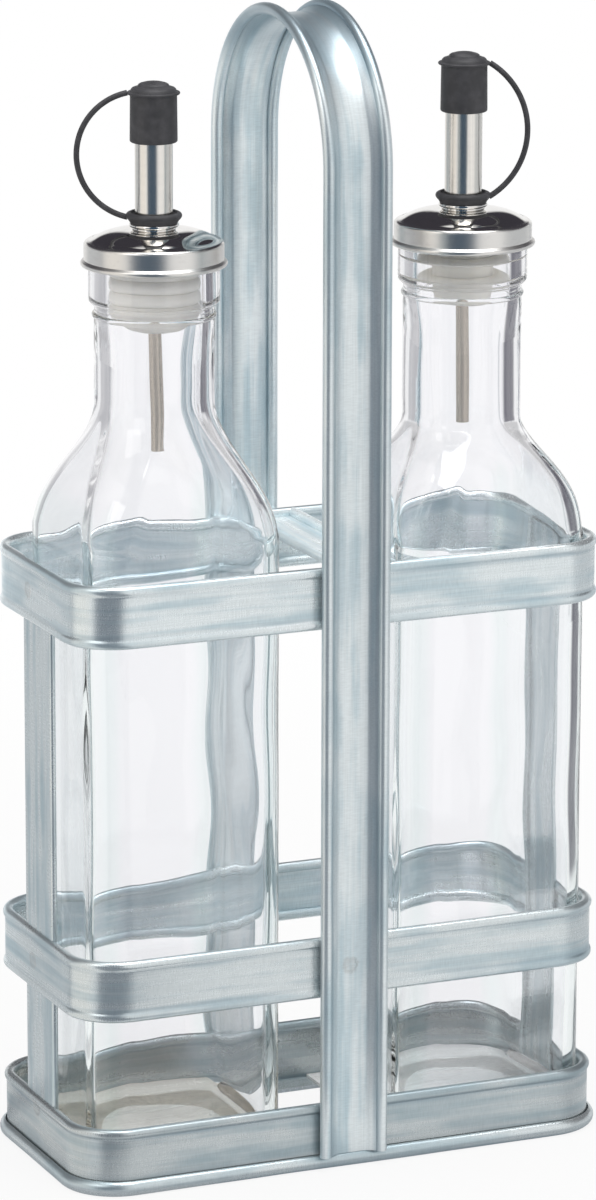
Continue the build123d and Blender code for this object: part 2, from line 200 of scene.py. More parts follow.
class Graph:
    """A shader or geometry node tree under construction."""

    def __init__(self, tree: bpy.types.NodeTree) -> None:
        """Start on a tree.

        Args:
            tree: The node tree that new nodes go into.
        """
        self.tree = tree

    def node(
        self,
        kind: str,
        settings: dict[str, Any] | None = None,
        sockets: dict[str | int, Any] | None = None,
        output: str | int = 0,
    ) -> Wire:
        """Add one node.

        Args:
            kind: Blender's name of the node type.
            settings: Properties of the node, set before its sockets.
            sockets: Values or wires for its inputs, by name or place.
            output: Name or place of the output that is wanted.

        Returns:
            The wire from that output.
        """
        made = self.tree.nodes.new(kind)
        for name, value in (settings or {}).items():
            setattr(made, name, value)
        for key, value in (sockets or {}).items():
            if isinstance(value, Wire):
                self.tree.links.new(value.socket, made.inputs[key])
            else:
                made.inputs[key].default_value = value
        return Wire(self, made.outputs[output])

    def math(self, operation: str, *operands: Operand) -> Wire:
        """Add a Math node for these operands."""
        return self.node("ShaderNodeMath", {"operation": operation}, dict(enumerate(operands)))

    def stretch(self, vector: Wire, scales: Point) -> Wire:
        """Multiply a vector by one scale for each axis."""
        return self.node("ShaderNodeVectorMath", {"operation": "MULTIPLY"}, {0: vector, 1: scales})

    def scaled(self, vector: Wire, factor: Operand) -> Wire:
        """Multiply a vector or colour by one number."""
        sockets = {0: vector, "Scale": factor}
        return self.node("ShaderNodeVectorMath", {"operation": "SCALE"}, sockets)

    def distance(self, vector: Wire, point: Point) -> Wire:
        """Distance of a position from a fixed point."""
        settings = {"operation": "DISTANCE"}
        return self.node("ShaderNodeVectorMath", settings, {0: vector, 1: point}, "Value")

    def axes(self, vector: Wire) -> tuple[Wire, Wire, Wire]:
        """Split a vector into its X, Y and Z."""
        x = self.node("ShaderNodeSeparateXYZ", None, {0: vector})
        return x, x.sibling("Y"), x.sibling("Z")

    def mixed(self, shares: Sequence[float], *values: Wire) -> Wire:
        """Sum of some values, each times its own share.

        Args:
            shares: A share for each value.
            values: The values.

        Returns:
            The sum.
        """
        first, *others = (value * share for value, share in zip(values, shares))
        return sum(others, first)

    def largest(self, first: Wire, *others: Wire) -> Wire:
        """Largest of some values.

        Args:
            first: A value.
            others: The values that it is held against.

        Returns:
            The largest.
        """
        for other in others:
            first = self.math("MAXIMUM", first, other)
        return first

    def ramp(self, value: Operand, low: float, high: float) -> Wire:
        """Smooth step from 0 at `low` to 1 at `high`."""
        sockets = {0: value, 1: low, 2: high}
        return self.node("ShaderNodeMapRange", {"interpolation_type": "SMOOTHSTEP"}, sockets)

    def window(self, value: Wire, low: float, high: float, soft: float) -> Wire:
        """1 between two values, falling to 0 over a soft edge at each end."""
        rise = self.ramp(value, low - soft, low + soft)
        return rise * (1 - self.ramp(value, high - soft, high + soft))

    def noise(self, vector: Wire, noise: Noise) -> Wire:
        """Look a noise up at a position in millimetres.

        Args:
            vector: The position.
            noise: The noise, with cycles for X, Y and Z.

        Returns:
            Its value, about 0 to 1.
        """
        sockets = {
            "Vector": self.stretch(vector, noise.cycles),
            "W": noise.seed,
            "Scale": 1.0,
            "Detail": noise.detail,
        }
        return self.node("ShaderNodeTexNoise", {"noise_dimensions": "4D"}, sockets)

    def blend(self, factor: Operand, first: Wire | Colour, second: Wire | Colour) -> Wire:
        """Mix two colours; in this mode the Mix node takes them at 6 and 7."""
        settings = {"data_type": "RGBA"}
        return self.node("ShaderNodeMix", settings, {0: factor, 6: first, 7: second}, 2)

    def place(self) -> Wire:
        """Object coordinates in millimetres."""
        coordinates = self.node("ShaderNodeTexCoord", None, None, "Object")
        return self.scaled(coordinates, 1 / MM)

    def ray(self, fact: Ray) -> Wire:
        """One fact about the ray that is being traced."""
        return self.node("ShaderNodeLightPath", None, None, fact.value)

    def bump(self, height: Wire, depth: float, strength: float) -> Wire:
        """Surface relief of a depth in millimetres."""
        sockets = {"Strength": strength, "Distance": depth * MM, "Height": height}
        return self.node("ShaderNodeBump", None, sockets)

    def principled(self, sockets: dict[str, Any]) -> None:
        """Close a material with a Principled shader of these values and wires."""
        self.surface(self.node("ShaderNodeBsdfPrincipled", None, sockets))

    def surface(self, shader: Wire, output: str = "ShaderNodeOutputMaterial") -> None:
        """Send a shader to the output of a material or a world."""
        self.tree.links.new(shader.socket, self.tree.nodes.new(output).inputs["Surface"])


def fresh_graph(owner: bpy.types.Material | bpy.types.World) -> Graph:
    """Empty the nodes of a material or a world.

    Args:
        owner: The material or world.

    Returns:
        Its tree, ready to be written.
    """
    owner.use_nodes = True
    owner.node_tree.nodes.clear()
    return Graph(owner.node_tree)


# ---------------------------------------------------------------------------
# Finishes
# ---------------------------------------------------------------------------
class Slot(Enum):
    """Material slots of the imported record."""

    ZINC = "galvanised_strip"
    GLASS = "bottle_glass"
    POLISHED = "polished_steel"
    DRAWN = "drawn_steel"
    PLASTIC = "stopper_plastic"
    RUBBER = "black_rubber"


@dataclass(frozen=True)
class Finish(ABC):
    """A surface finish that can be put on any mesh."""

    name: str
    slot: Slot

    def material(self) -> bpy.types.Material:
        """Make the material once, and find it again later.

        Returns:
            The material of this finish.
        """
        made = bpy.data.materials.get(self.name)
        if made is None:
            made = bpy.data.materials.new(self.name)
            self.paint(fresh_graph(made))
        return made

    @abstractmethod
    def paint(self, graph: Graph) -> None:
        """Write the material's nodes; each finish has its own."""


@dataclass(frozen=True)
class GalvanisedZinc(Finish):
    """Brushed zinc coating: fine lines along the strip, cross threads, clouds and weld marks.

    Ranges say where a noise starts and stops to count, and mixes say how far the streaks, the
    clouds and the other noises count. Creases are places on the axis that the lines cross; painted
    shade darkens the zinc along them. The level, the far light and the top shade are painted light
    and shade: a brightness for each part, a lighter far side and a darker top.
    """

    grain: Grain
    seed: float = 0.0
    # Brightness of the whole part; on the bands and the divider it is painted light and shade.
    level: float = 1.0
    marks: tuple[Point, ...] = ()
    creases: tuple[float, ...] = ()
    bright: Colour = (0.72, 0.775, 0.79, 1)
    blue: Colour = (0.39, 0.525, 0.585, 1)
    chalk: Colour = (0.80, 0.83, 0.84, 1)
    stain: Colour = (0.36, 0.32, 0.29, 1)
    painted_shade_tone: Colour = (0.24, 0.33, 0.39, 1)
    lines: Noise = Noise((3.0, 0.06), 3.0, 0)
    threads: Noise = Noise((0.5, 3.4), 2.0, 1)
    streaks: Noise = Noise((0.42, 0.02), 3.0, 2)
    clouds: Noise = Noise((0.12, 0.05), 3.0, 3)
    rags: Noise = Noise((0.9, 0.9), 2.0, 4)
    blue_mix: Flat = (0.5, 0.5)
    blue_range: Flat = (0.43, 0.62)
    blue_share: float = 0.70
    chalk_mix: Flat = (-0.4, 1.0)
    chalk_range: Flat = (0.30, 0.52)
    chalk_share: float = 0.30
    brush_share: float = 0.28
    metallic: float = 0.78
    polish: float = 0.21
    roughening: Point = (0.08, 0.06, 0.05)
    relief_mix: Point = (0.5, 0.5, 1.2)
    relief_depth: float = 0.035
    relief_strength: float = 0.6
    far_side: float = 24.0
    painted_far_light: float = 0.0
    far_shade_clearing: float = 1.4
    painted_shade_foot: float = 1000.0
    painted_shade_rise: float = 11.0
    painted_shade_share: Flat = (0.35, 0.5)
    crease_shade_share: float = 0.35
    crease_reach: Flat = (0.15, 0.95)
    crease_range: Flat = (0.30, 0.60)
    mark_radius: float = 2.0
    mark_inner: Flat = (0.70, 0.6)
    mark_shares: Flat = (0.22, 0.36)
    mark_raggedness: float = 1.6
    mark_edge: float = 0.45
    mark_relief: float = 3.0

    def grained(self, graph: Graph, place: Wire, noise: Noise) -> Wire:
        """Noise that is drawn out along the grain."""
        return graph.noise(place, noise.along(self.grain, self.seed))

    def shade_creases(self, graph: Graph, place: Wire, tone: Wire, streaks: Wire, far: Wire) -> Wire:
        """Darken the creases of the section with painted shade.

        Args:
            graph: The material's nodes.
            place: Position in millimetres.
            tone: The tone so far.
            streaks: The noise that breaks the patina up.
            far: The painted light on the far side, where the creases get less painted shade.

        Returns:
            The tone with painted shade along its creases.
        """
        across = graph.axes(place)[self.grain.value.index(1)]
        broken = graph.ramp(streaks, *self.crease_range)
        for crease in self.creases:
            # Painted shade along each crease, broken up by the streaks.
            crease_shade = 1 - graph.ramp(abs(across - crease), *self.crease_reach)
            share = crease_shade * broken * (self.crease_shade_share - far * self.far_shade_clearing)
            tone = graph.blend(share, tone, self.painted_shade_tone)
        return tone

    def marked(
        self, graph: Graph, place: Wire, tone: Wire, relief: Wire
    ) -> tuple[Wire, Wire]:
        """Burn the spot-weld marks into the zinc, each a stained disc with a darker ring.

        Args:
            graph: The material's nodes.
            place: Position in millimetres.
            tone: The tone so far.
            relief: The relief so far.

        Returns:
            The tone and the relief with the marks.
        """
        ragged = self.grained(graph, place, self.rags)
        ring_start, disc_start = (self.mark_radius * inner for inner in self.mark_inner)
        ring_share, disc_share = self.mark_shares
        for mark in self.marks:
            reach = graph.distance(place, mark) + (ragged - 0.5) * self.mark_raggedness
            ring = graph.window(reach, ring_start, self.mark_radius, self.mark_edge)
            disc = 1 - graph.ramp(reach, disc_start, self.mark_radius)
            stained = ring * ring_share + disc * disc_share * ragged
            tone = graph.blend(stained, tone, self.stain)
            relief = relief - disc * self.mark_relief
        return tone, relief

    def paint(self, graph: Graph) -> None:
        """Write the nodes of brushed zinc.

        Args:
            graph: The material's nodes.
        """
        place = graph.place()
        lines = self.grained(graph, place, self.lines)
        threads = self.grained(graph, place, self.threads)
        streaks = self.grained(graph, place, self.streaks)
        clouds = self.grained(graph, place, self.clouds)
        dull = graph.ramp(graph.mixed(self.blue_mix, streaks, clouds), *self.blue_range)
        chalky = graph.ramp(graph.mixed(self.chalk_mix, streaks, clouds), *self.chalk_range)
        tone = graph.blend(dull * self.blue_share, self.bright, self.blue)
        tone = graph.blend(chalky * self.chalk_share, tone, self.chalk)
        _, y, height = graph.axes(place)
        # Painted light: the zinc is made brighter towards the far side.
        far = graph.ramp(y, 0.0, self.far_side) * self.painted_far_light
        brushed = (lines + threads) * self.brush_share + (1 - self.brush_share)
        tone = graph.scaled(tone, brushed * (self.level + far))
        # Painted shade over the top of the part, mottled by the clouds.
        top_shade = graph.ramp(height, self.painted_shade_foot, self.painted_shade_foot + self.painted_shade_rise)
        least, clouded = self.painted_shade_share
        tone = graph.blend(top_shade * (least + clouds * clouded), tone, self.painted_shade_tone)
        tone = self.shade_creases(graph, place, tone, streaks, far)
        relief = graph.mixed(self.relief_mix, lines, threads, clouds)
        tone, relief = self.marked(graph, place, tone, relief)
        graph.principled({
            "Base Color": tone,
            "Metallic": self.metallic,
            "Roughness": self.polish + graph.mixed(self.roughening, dull, lines, threads),
            "Normal": graph.bump(relief, self.relief_depth, self.relief_strength),
        })


@dataclass(frozen=True)
class BottleGlass(Finish):
    """Clear pressed glass, faintly green where it is thick, with the slow waves of a mould.

    Distances are from the bottle's axis; where the glass counts as thick they start and end
    the change to the thick tint, and the shares say how far each place goes.
    """

    axis: Flat
    tint: Colour = (0.966, 0.966, 0.980, 1)
    thick_tint: Colour = (0.87, 0.94, 0.93, 1)
    lamp_tint: Colour = (1.0, 1.0, 1.0, 1)
    base: Flat = (5.0, 9.0)
    base_share: float = 0.5
    corner: Flat = (16.5, 19.5)
    corner_share: float = 0.7
    end_wall: Flat = (20.5, 22.5)
    end_share: float = 0.65
    cords: Noise = Noise((0.11, 0.11, 0.02), 1.0, 4.0)
    ripples: Noise = Noise((0.06, 0.06, 0.05), 1.0, 7.0)
    wave_depth: float = 0.18
    wave_strength: float = 0.5
    refraction: float = 1.5

    def paint(self, graph: Graph) -> None:
        """Write the nodes of bottle glass; lamps shine on through it to what stands behind.

        Args:
            graph: The material's nodes.
        """
        place = graph.place()
        x, y, height = graph.axes(place)
        waves = graph.noise(place, self.cords) + graph.noise(place, self.ripples)
        out_x = abs(x - self.axis[0])
        out_y = abs(y - self.axis[1])
        base = 1 - graph.ramp(height, *self.base)
        corner = graph.ramp(graph.math("MINIMUM", out_x, out_y), *self.corner)
        ends = graph.ramp(out_x, *self.end_wall)
        thick = graph.largest(
            base * self.base_share, corner * self.corner_share, ends * self.end_share)
        glass = graph.node("ShaderNodeBsdfPrincipled", None, {
            "Base Color": graph.blend(thick, self.tint, self.thick_tint),
            "Roughness": 0.0,
            "IOR": self.refraction,
            "Transmission Weight": 1.0,
            "Normal": graph.bump(waves * (1 - base), self.wave_depth, self.wave_strength),
        })
        clear = graph.node("ShaderNodeBsdfTransparent", None, {"Color": self.lamp_tint})
        lamp = graph.ray(Ray.SHADOW)
        graph.surface(graph.node("ShaderNodeMixShader", None, {0: lamp, 1: glass, 2: clear}))


@dataclass(frozen=True)
class PolishedSteel(Finish):
    """Stainless steel with a mirror dome, a satin skirt with turning marks, and small scuffs."""

    tone: Colour = (0.78, 0.765, 0.74, 1)
    shade: Colour = (0.60, 0.585, 0.565, 1)
    satin_edge: Flat = (212.3, 213.4)
    rings: Noise = Noise((0.05, 0.05, 6.0), 2.0, 3.0)
    scuffs: Noise = Noise((0.45, 0.45, 0.9), 4.0, 9.0)
    scuff_range: Flat = (0.52, 0.70)
    shade_mix: Flat = (0.25, 0.2)
    polish: float = 0.05
    roughening: Point = (0.25, 0.03, 0.03)
    relief_mix: Flat = (1.0, 0.5)
    relief_depth: float = 0.008
    relief_strength: float = 0.5

    def paint(self, graph: Graph) -> None:
        """Write the nodes of polished steel.

        Args:
            graph: The material's nodes.
        """
        place = graph.place()
        skirt = 1 - graph.ramp(graph.axes(place)[2], *self.satin_edge)
        rings = graph.noise(place, self.rings)
        scuffs = graph.noise(place, self.scuffs)
        worn = graph.ramp(scuffs, *self.scuff_range)
        shaded = graph.mixed(self.shade_mix, worn, rings)
        relief = graph.mixed(self.relief_mix, rings * skirt, scuffs)
        graph.principled({
            "Base Color": graph.blend(shaded, self.tone, self.shade),
            "Metallic": 1.0,
            "Roughness": self.polish + graph.mixed(self.roughening, skirt, worn, rings),
            "Normal": graph.bump(relief, self.relief_depth, self.relief_strength),
        })


@dataclass(frozen=True)
class DrawnSteel(Finish):
    """Drawn stainless tube with fine lines along its length."""

    tone: Colour = (0.88, 0.855, 0.81, 1)
    shade: Colour = (0.60, 0.575, 0.54, 1)
    lines: Noise = Noise((3.0, 3.0, 0.06), 3.0, 2.0)
    bands: Noise = Noise((0.1, 0.1, 1.1), 2.0, 5.0)
    shade_mix: Flat = (0.5, 0.2)
    polish: float = 0.15
    roughening: Flat = (0.10, 0.06)
    relief_depth: float = 0.02
    relief_strength: float = 0.5

    def paint(self, graph: Graph) -> None:
        """Write the nodes of drawn steel.

        Args:
            graph: The material's nodes.
        """
        place = graph.place()
        lines = graph.noise(place, self.lines)
        bands = graph.noise(place, self.bands)
        shaded = graph.mixed(self.shade_mix, lines, bands)
        graph.principled({
            "Base Color": graph.blend(shaded, self.tone, self.shade),
            "Metallic": 1.0,
            "Roughness": self.polish + graph.mixed(self.roughening, lines, bands),
            "Normal": graph.bump(lines, self.relief_depth, self.relief_strength),
        })


@dataclass(frozen=True)
class StopperPlastic(Finish):
    """Translucent soft plastic, cloudy and slightly waxy."""

    tone: Colour = (0.985, 0.965, 0.90, 1)
    cloud: Colour = (0.92, 0.895, 0.825, 1)
    clouds: Noise = Noise((0.35, 0.35, 0.35), 3.0, 6.0)
    cloud_share: float = 0.7
    pores: Noise = Noise((4.0, 4.0, 4.0), 2.0, 8.0)
    polish: float = 0.42
    roughening: Flat = (0.12, 0.06)
    refraction: float = 1.42
    depth_share: float = 0.5
    depth: float = 1.5
    depth_tone: Point = (1.0, 0.96, 0.88)
    relief_depth: float = 0.02
    relief_strength: float = 0.4

    def paint(self, graph: Graph) -> None:
        """Write the nodes of translucent plastic.

        Args:
            graph: The material's nodes.
        """
        place = graph.place()
        clouds = graph.noise(place, self.clouds)
        pores = graph.noise(place, self.pores)
        graph.principled({
            "Base Color": graph.blend(clouds * self.cloud_share, self.tone, self.cloud),
            "Roughness": self.polish + graph.mixed(self.roughening, clouds, pores),
            "IOR": self.refraction,
            "Subsurface Weight": self.depth_share,
            "Subsurface Radius": self.depth_tone,
            "Subsurface Scale": self.depth * MM,
            "Normal": graph.bump(pores, self.relief_depth, self.relief_strength),
        })


@dataclass(frozen=True)
class MattRubber(Finish):
    """Moulded black rubber with a fine matt skin and a little bloom."""

    tone: Colour = (0.033, 0.033, 0.037, 1)
    dusty_tone: Colour = (0.058, 0.057, 0.063, 1)
    bloom: Noise = Noise((0.4, 0.4, 0.4), 4.0, 1.0)
    bloom_range: Flat = (0.35, 0.75)
    skin: Noise = Noise((7.0, 7.0, 7.0), 2.0, 2.0)
    polish: float = 0.46
    roughening: Flat = (0.14, 0.08)
    relief_depth: float = 0.03
    relief_strength: float = 0.5

    def paint(self, graph: Graph) -> None:
        """Write the nodes of matt rubber.

        Args:
            graph: The material's nodes.
        """
        place = graph.place()
        bloom = graph.noise(place, self.bloom)
        skin = graph.noise(place, self.skin)
        dusted = graph.ramp(bloom, *self.bloom_range)
        graph.principled({
            "Base Color": graph.blend(dusted, self.tone, self.dusty_tone),
            "Roughness": self.polish + graph.mixed(self.roughening, bloom, skin),
            "Normal": graph.bump(skin, self.relief_depth, self.relief_strength),
        })


# ---------------------------------------------------------------------------
# Outlines and meshes
# ---------------------------------------------------------------------------
class Outline:
    """A flat outline gathered point by point, in millimetres."""

    def __init__(self, *points: Flat) -> None:
        """Start with some corners.

        Args:
            points: The first corners of the outline.
        """
        self.points: list[Flat] = list(points)

    def to(self, *points: Flat) -> Outline:
        """Run straight on through more corners."""
        self.points.extend(points)
        return self

    def arc(self, centre: Flat, radius: float, start: float, end: float, steps: int = 8) -> Outline:
        """Run on along a circular arc.

        Args:
            centre: Centre of the arc.
            radius: Its radius.
            start: Direction of its first point from the centre, in degrees.
            end: Direction of its last point.
            steps: How many chords it has.

        Returns:
            The same outline.
        """
        for step in range(steps + 1):
            turn = radians(start + (end - start) * step / steps)
            self.points.append((centre[0] + radius * cos(turn), centre[1] + radius * sin(turn)))
        return self

    def mirrored(self) -> Outline:
        """Close the outline with its own mirror image across the first axis."""
        self.points.extend((x, -y) for x, y in reversed(self.points))
        return self

    def tidy(self, gap: float = 0.004) -> list[Flat]:
        """Corners without repeats.

        Args:
            gap: Corners closer than this are one.

        Returns:
            The corners that are left, in order.
        """
        kept: list[Flat] = []
        for point in self.points:
            if not kept or hypot(point[0] - kept[-1][0], point[1] - kept[-1][1]) > gap:
                kept.append(point)
        if hypot(kept[0][0] - kept[-1][0], kept[0][1] - kept[-1][1]) <= gap:
            kept.pop()
        return kept


def climbed(height: float, foot: float, reach: float) -> float:
    """How far a height is above a foot, from 0 there to 1 at the end of the reach."""
    return min(max((height - foot) / reach, 0.0), 1.0)


def three_point_arc(start: Flat, middle: Flat, end: Flat, steps: int = 48) -> list[Flat]:
    """Points of the arc through three points.

    Args:
        start: First point.
        middle: A point between.
        end: Last point.
        steps: How many chords it has.

    Returns:
        The points in order.
    """
    (ax, ay), (bx, by), (cx, cy) = start, middle, end
    size = 2 * (ax * (by - cy) + bx * (cy - ay) + cx * (ay - by))
    a, b, c = ax * ax + ay * ay, bx * bx + by * by, cx * cx + cy * cy
    x = (a * (by - cy) + b * (cy - ay) + c * (ay - by)) / size
    y = (a * (cx - bx) + b * (ax - cx) + c * (bx - ax)) / size
    first = degrees(atan2(ay - y, ax - x))
    last = degrees(atan2(cy - y, cx - x))
    return Outline().arc((x, y), hypot(ax - x, ay - y), first, last, steps).tidy()


def rings_mesh(name: str, rings: Sequence[np.ndarray], closed: bool) -> bpy.types.Mesh:
    """Skin a stack of rings of points; a ring of one point is a pole.

    Args:
        name: Name of the mesh.
        rings: Arrays of points in millimetres, all of one length apart from poles.
        closed: Whether the last ring joins the first.

    Returns:
        The mesh, in metres, with its faces outwards.
    """
    starts = np.cumsum([0] + [len(ring) for ring in rings])
    faces: list[tuple[int, ...]] = []
    pairs = list(zip(range(len(rings) - 1), range(1, len(rings))))
    if closed:
        pairs.append((len(rings) - 1, 0))
    for low, high in pairs:
        count = max(len(rings[low]), len(rings[high]))
        for step in range(count):
            after = (step + 1) % count
            face = []
            for ring, corner in ((low, step), (low, after), (high, after), (high, step)):
                index = int(starts[ring] + (corner if len(rings[ring]) > 1 else 0))
                if index not in face:
                    face.append(index)
            if len(face) > 2:
                faces.append(tuple(face))
    mesh = bpy.data.meshes.new(name)
    mesh.from_pydata((np.concatenate(rings) * MM).tolist(), [], faces)
    return face_outwards(mesh)


def face_outwards(mesh: bpy.types.Mesh) -> bpy.types.Mesh:
    """Point the faces of a closed mesh outwards and shade it smooth between sharp edges.

    Args:
        mesh: The mesh, which is changed.

    Returns:
        The same mesh.
    """
    work = bmesh.new()
    work.from_mesh(mesh)
    bmesh.ops.recalc_face_normals(work, faces=work.faces)
    if work.calc_volume(signed=True) < 0:
        bmesh.ops.reverse_faces(work, faces=work.faces)
    work.to_mesh(mesh)
    work.free()
    mesh.shade_smooth()
    mesh.set_sharp_from_angle(angle=SHARP_EDGE)
    return mesh


def circle(centre: Flat, radius: float, height: float, steps: int) -> np.ndarray:
    """Points of a level circle.

    Args:
        centre: X and Y of its centre.
        radius: Its radius; a circle without one is a single point.
        height: Its height.
        steps: How many points it has.

    Returns:
        An array of points.
    """
    if radius < POLE:
        return np.array([[*centre, height]])
    turns = np.arange(steps) * tau / steps
    x = centre[0] + radius * np.cos(turns)
    y = centre[1] + radius * np.sin(turns)
    return np.stack([x, y, np.full(steps, height)], axis=1)


def lathe(name: str, outline: Sequence[Flat], axis: Flat, steps: int = 112) -> bpy.types.Mesh:
    """Turn a closed outline of (radius, height) about an upright axis.

    Args:
        name: Name of the mesh.
        outline: Corners of the half section, with poles only at its ends.
        axis: X and Y of the axis.
        steps: How many faces go round.

    Returns:
        The turned mesh.
    """
    rings = [circle(axis, radius, height, steps) for radius, height in outline]
    return rings_mesh(name, rings, closed=min(outline[0][0], outline[-1][0]) > POLE)


def linked(name: str, data: bpy.types.ID) -> bpy.types.Object:
    """Put a mesh, a lamp or a camera in the scene as an object.

    Args:
        name: Name of the object.
        data: What it shows.

    Returns:
        The object, at the origin.
    """
    made = bpy.data.objects.new(name, data)
    bpy.context.scene.collection.objects.link(made)
    return made


def chain(name: str, points: Sequence[Point], closed: bool) -> bpy.types.Object:
    """Wire of straight edges, for Geometry Nodes to follow.

    Args:
        name: Name of the object.
        points: Corners in millimetres.
        closed: Whether the last corner joins the first.

    Returns:
        The object that holds the wire.
    """
    count = len(points)
    edges = [(step, step + 1) for step in range(count - 1)]
    if closed:
        edges.append((count - 1, 0))
    mesh = bpy.data.meshes.new(name)
    mesh.from_pydata([tuple(value * MM for value in point) for point in points], edges, [])
    return linked(name, mesh)


# ---------------------------------------------------------------------------
# Geometry Nodes
# ---------------------------------------------------------------------------
@dataclass
class Recipe(ABC):
    """A Geometry Nodes tree with named inputs that turns a wire into a finished mesh."""

    name: str
    inputs: tuple[tuple[str, str], ...]

    def tree(self) -> bpy.types.NodeTree:
        """Build the tree once, and find it again later.

        Returns:
            The node group.
        """
        made = bpy.data.node_groups.get(self.name)
        if made is not None:
            return made
        made = bpy.data.node_groups.new(self.name, "GeometryNodeTree")
        face = made.interface
        face.new_socket(name="Geometry", in_out="INPUT", socket_type="NodeSocketGeometry")
        for label, kind in self.inputs:
            face.new_socket(name=label, in_out="INPUT", socket_type=f"NodeSocket{kind}")
        face.new_socket(name="Geometry", in_out="OUTPUT", socket_type="NodeSocketGeometry")
        graph = Graph(made)
        source = made.nodes.new("NodeGroupInput")
        wires = {socket.name: Wire(graph, socket) for socket in source.outputs if socket.name}
        shape = graph.node("GeometryNodeRealizeInstances", None, {0: self.shape(graph, wires)})
        sockets = {"Geometry": shape, "Material": wires["Material"]}
        dressed = graph.node("GeometryNodeSetMaterial", None, sockets)
        made.links.new(dressed.socket, made.nodes.new("NodeGroupOutput").inputs[0])
        return made

    @abstractmethod
    def shape(self, graph: Graph, wires: dict[str, Wire]) -> Wire:
        """Write the nodes that make the shape; each recipe has its own."""

    def run(self, name: str, wire: bpy.types.Object, values: dict[str, Any]) -> bpy.types.Mesh:
        """Apply the recipe to a wire and keep the result as a plain mesh.

        Args:
            name: Name of the mesh.
            wire: The object that the modifier sits on; it is removed afterwards.
            values: A value for each named input.

        Returns:
            The plain mesh, facing outwards.
        """
        tree = self.tree()
        modifier = wire.modifiers.new(self.name, "NODES")
        modifier.node_group = tree
        for socket in tree.interface.items_tree:
            if socket.in_out == "INPUT" and socket.name in values:
                modifier[socket.identifier] = values[socket.name]
        depsgraph = bpy.context.evaluated_depsgraph_get()
        mesh = bpy.data.meshes.new_from_object(wire.evaluated_get(depsgraph))
        mesh.name = name
        wire.modifiers.remove(modifier)
        bpy.data.objects.remove(wire)
        return face_outwards(mesh)


@dataclass
class StripRecipe(Recipe):
    """Sweeps a section along a wire whose corners are rounded; slight waves sink its sheet."""

    name: str = "strip_on_path"
    inputs: tuple[tuple[str, str], ...] = (
        ("Section", "Object"),
        ("Corner Radius", "Float"),
        ("Corner Steps", "Int"),
        ("Step", "Float"),
        ("Wave Depth", "Float"),
        ("Waves per Metre", "Float"),
        ("Seed", "Float"),
        ("Material", "Material"),
    )

    def shape(self, graph: Graph, wires: dict[str, Wire]) -> Wire:
        """Write the sweep.

        Args:
            graph: The tree.
            wires: Its named inputs.

        Returns:
            The swept mesh.
        """
        path = graph.node("GeometryNodeMeshToCurve", None, {0: wires["Geometry"]})
        path = graph.node("GeometryNodeFilletCurve", {"mode": "POLY"}, {
            "Curve": path,
            "Count": wires["Corner Steps"],
            "Radius": wires["Corner Radius"],
        })
        path = graph.node("GeometryNodeResampleCurve", {"mode": "LENGTH"}, {
            "Curve": path,
            "Length": wires["Step"],
        })
        section = graph.node("GeometryNodeObjectInfo", None, {0: wires["Section"]}, "Geometry")
        section = graph.node("GeometryNodeMeshToCurve", None, {0: section})
        swept = graph.node("GeometryNodeCurveToMesh", None, {
            "Curve": path,
            "Profile Curve": section,
            "Fill Caps": True,
        })
        wave = graph.node("ShaderNodeTexNoise", {"noise_dimensions": "4D"}, {
            "Vector": graph.node("GeometryNodeInputPosition"),
            "W": wires["Seed"],
            "Scale": wires["Waves per Metre"],
            "Detail": 1.0,
        })
        sunk = (wave - 1.0) * wires["Wave Depth"]
        offset = graph.scaled(graph.node("GeometryNodeInputNormal"), sunk)
        return graph.node("GeometryNodeSetPosition", None, {"Geometry": swept, "Offset": offset})


@dataclass
class RibRecipe(Recipe):
    """Stacks equal round ribs above the wire's first point."""

    name: str = "rib_stack"
    inputs: tuple[tuple[str, str], ...] = (
        ("Count", "Int"),
        ("Pitch", "Float"),
        ("Ring Radius", "Float"),
        ("Rib Reach", "Float"),
        ("Rib Height", "Float"),
        ("Growth", "Float"),
        ("Steps Round", "Int"),
        ("Section Steps", "Int"),
        ("Material", "Material"),
    )

    def shape(self, graph: Graph, wires: dict[str, Wire]) -> Wire:
        """Write the stack.

        Args:
            graph: The tree.
            wires: Its named inputs.

        Returns:
            The ribs as instances.
        """
        ring = graph.node("GeometryNodeCurvePrimitiveCircle", None, {
            "Resolution": wires["Steps Round"],
            "Radius": wires["Ring Radius"],
        })
        section = graph.node("GeometryNodeCurvePrimitiveCircle", None, {
            "Resolution": wires["Section Steps"],
            "Radius": 1.0,
        })
        size = graph.node("ShaderNodeCombineXYZ", None, {
            "X": wires["Rib Reach"],
            "Y": wires["Rib Height"],
            "Z": 1.0,
        })
        section = graph.node("GeometryNodeTransform", None, {"Geometry": section, "Scale": size})
        rib = graph.node("GeometryNodeCurveToMesh", None, {
            "Curve": ring,
            "Profile Curve": section,
        })
        foot = graph.node("GeometryNodeSampleIndex", {"data_type": "FLOAT_VECTOR"}, {
            "Geometry": wires["Geometry"],
            "Value": graph.node("GeometryNodeInputPosition"),
        })
        spots = graph.node("GeometryNodeMeshLine", None, {
            "Count": wires["Count"],
            "Start Location": foot,
            "Offset": graph.node("ShaderNodeCombineXYZ", None, {"Z": wires["Pitch"]}),
        })
        place = graph.node("GeometryNodeInputIndex")
        return graph.node("GeometryNodeInstanceOnPoints", None, {
            "Points": spots,
            "Instance": rib,
            "Scale": 1 + place * wires["Growth"],
        })


STRIP = StripRecipe()
RIBS = RibRecipe()


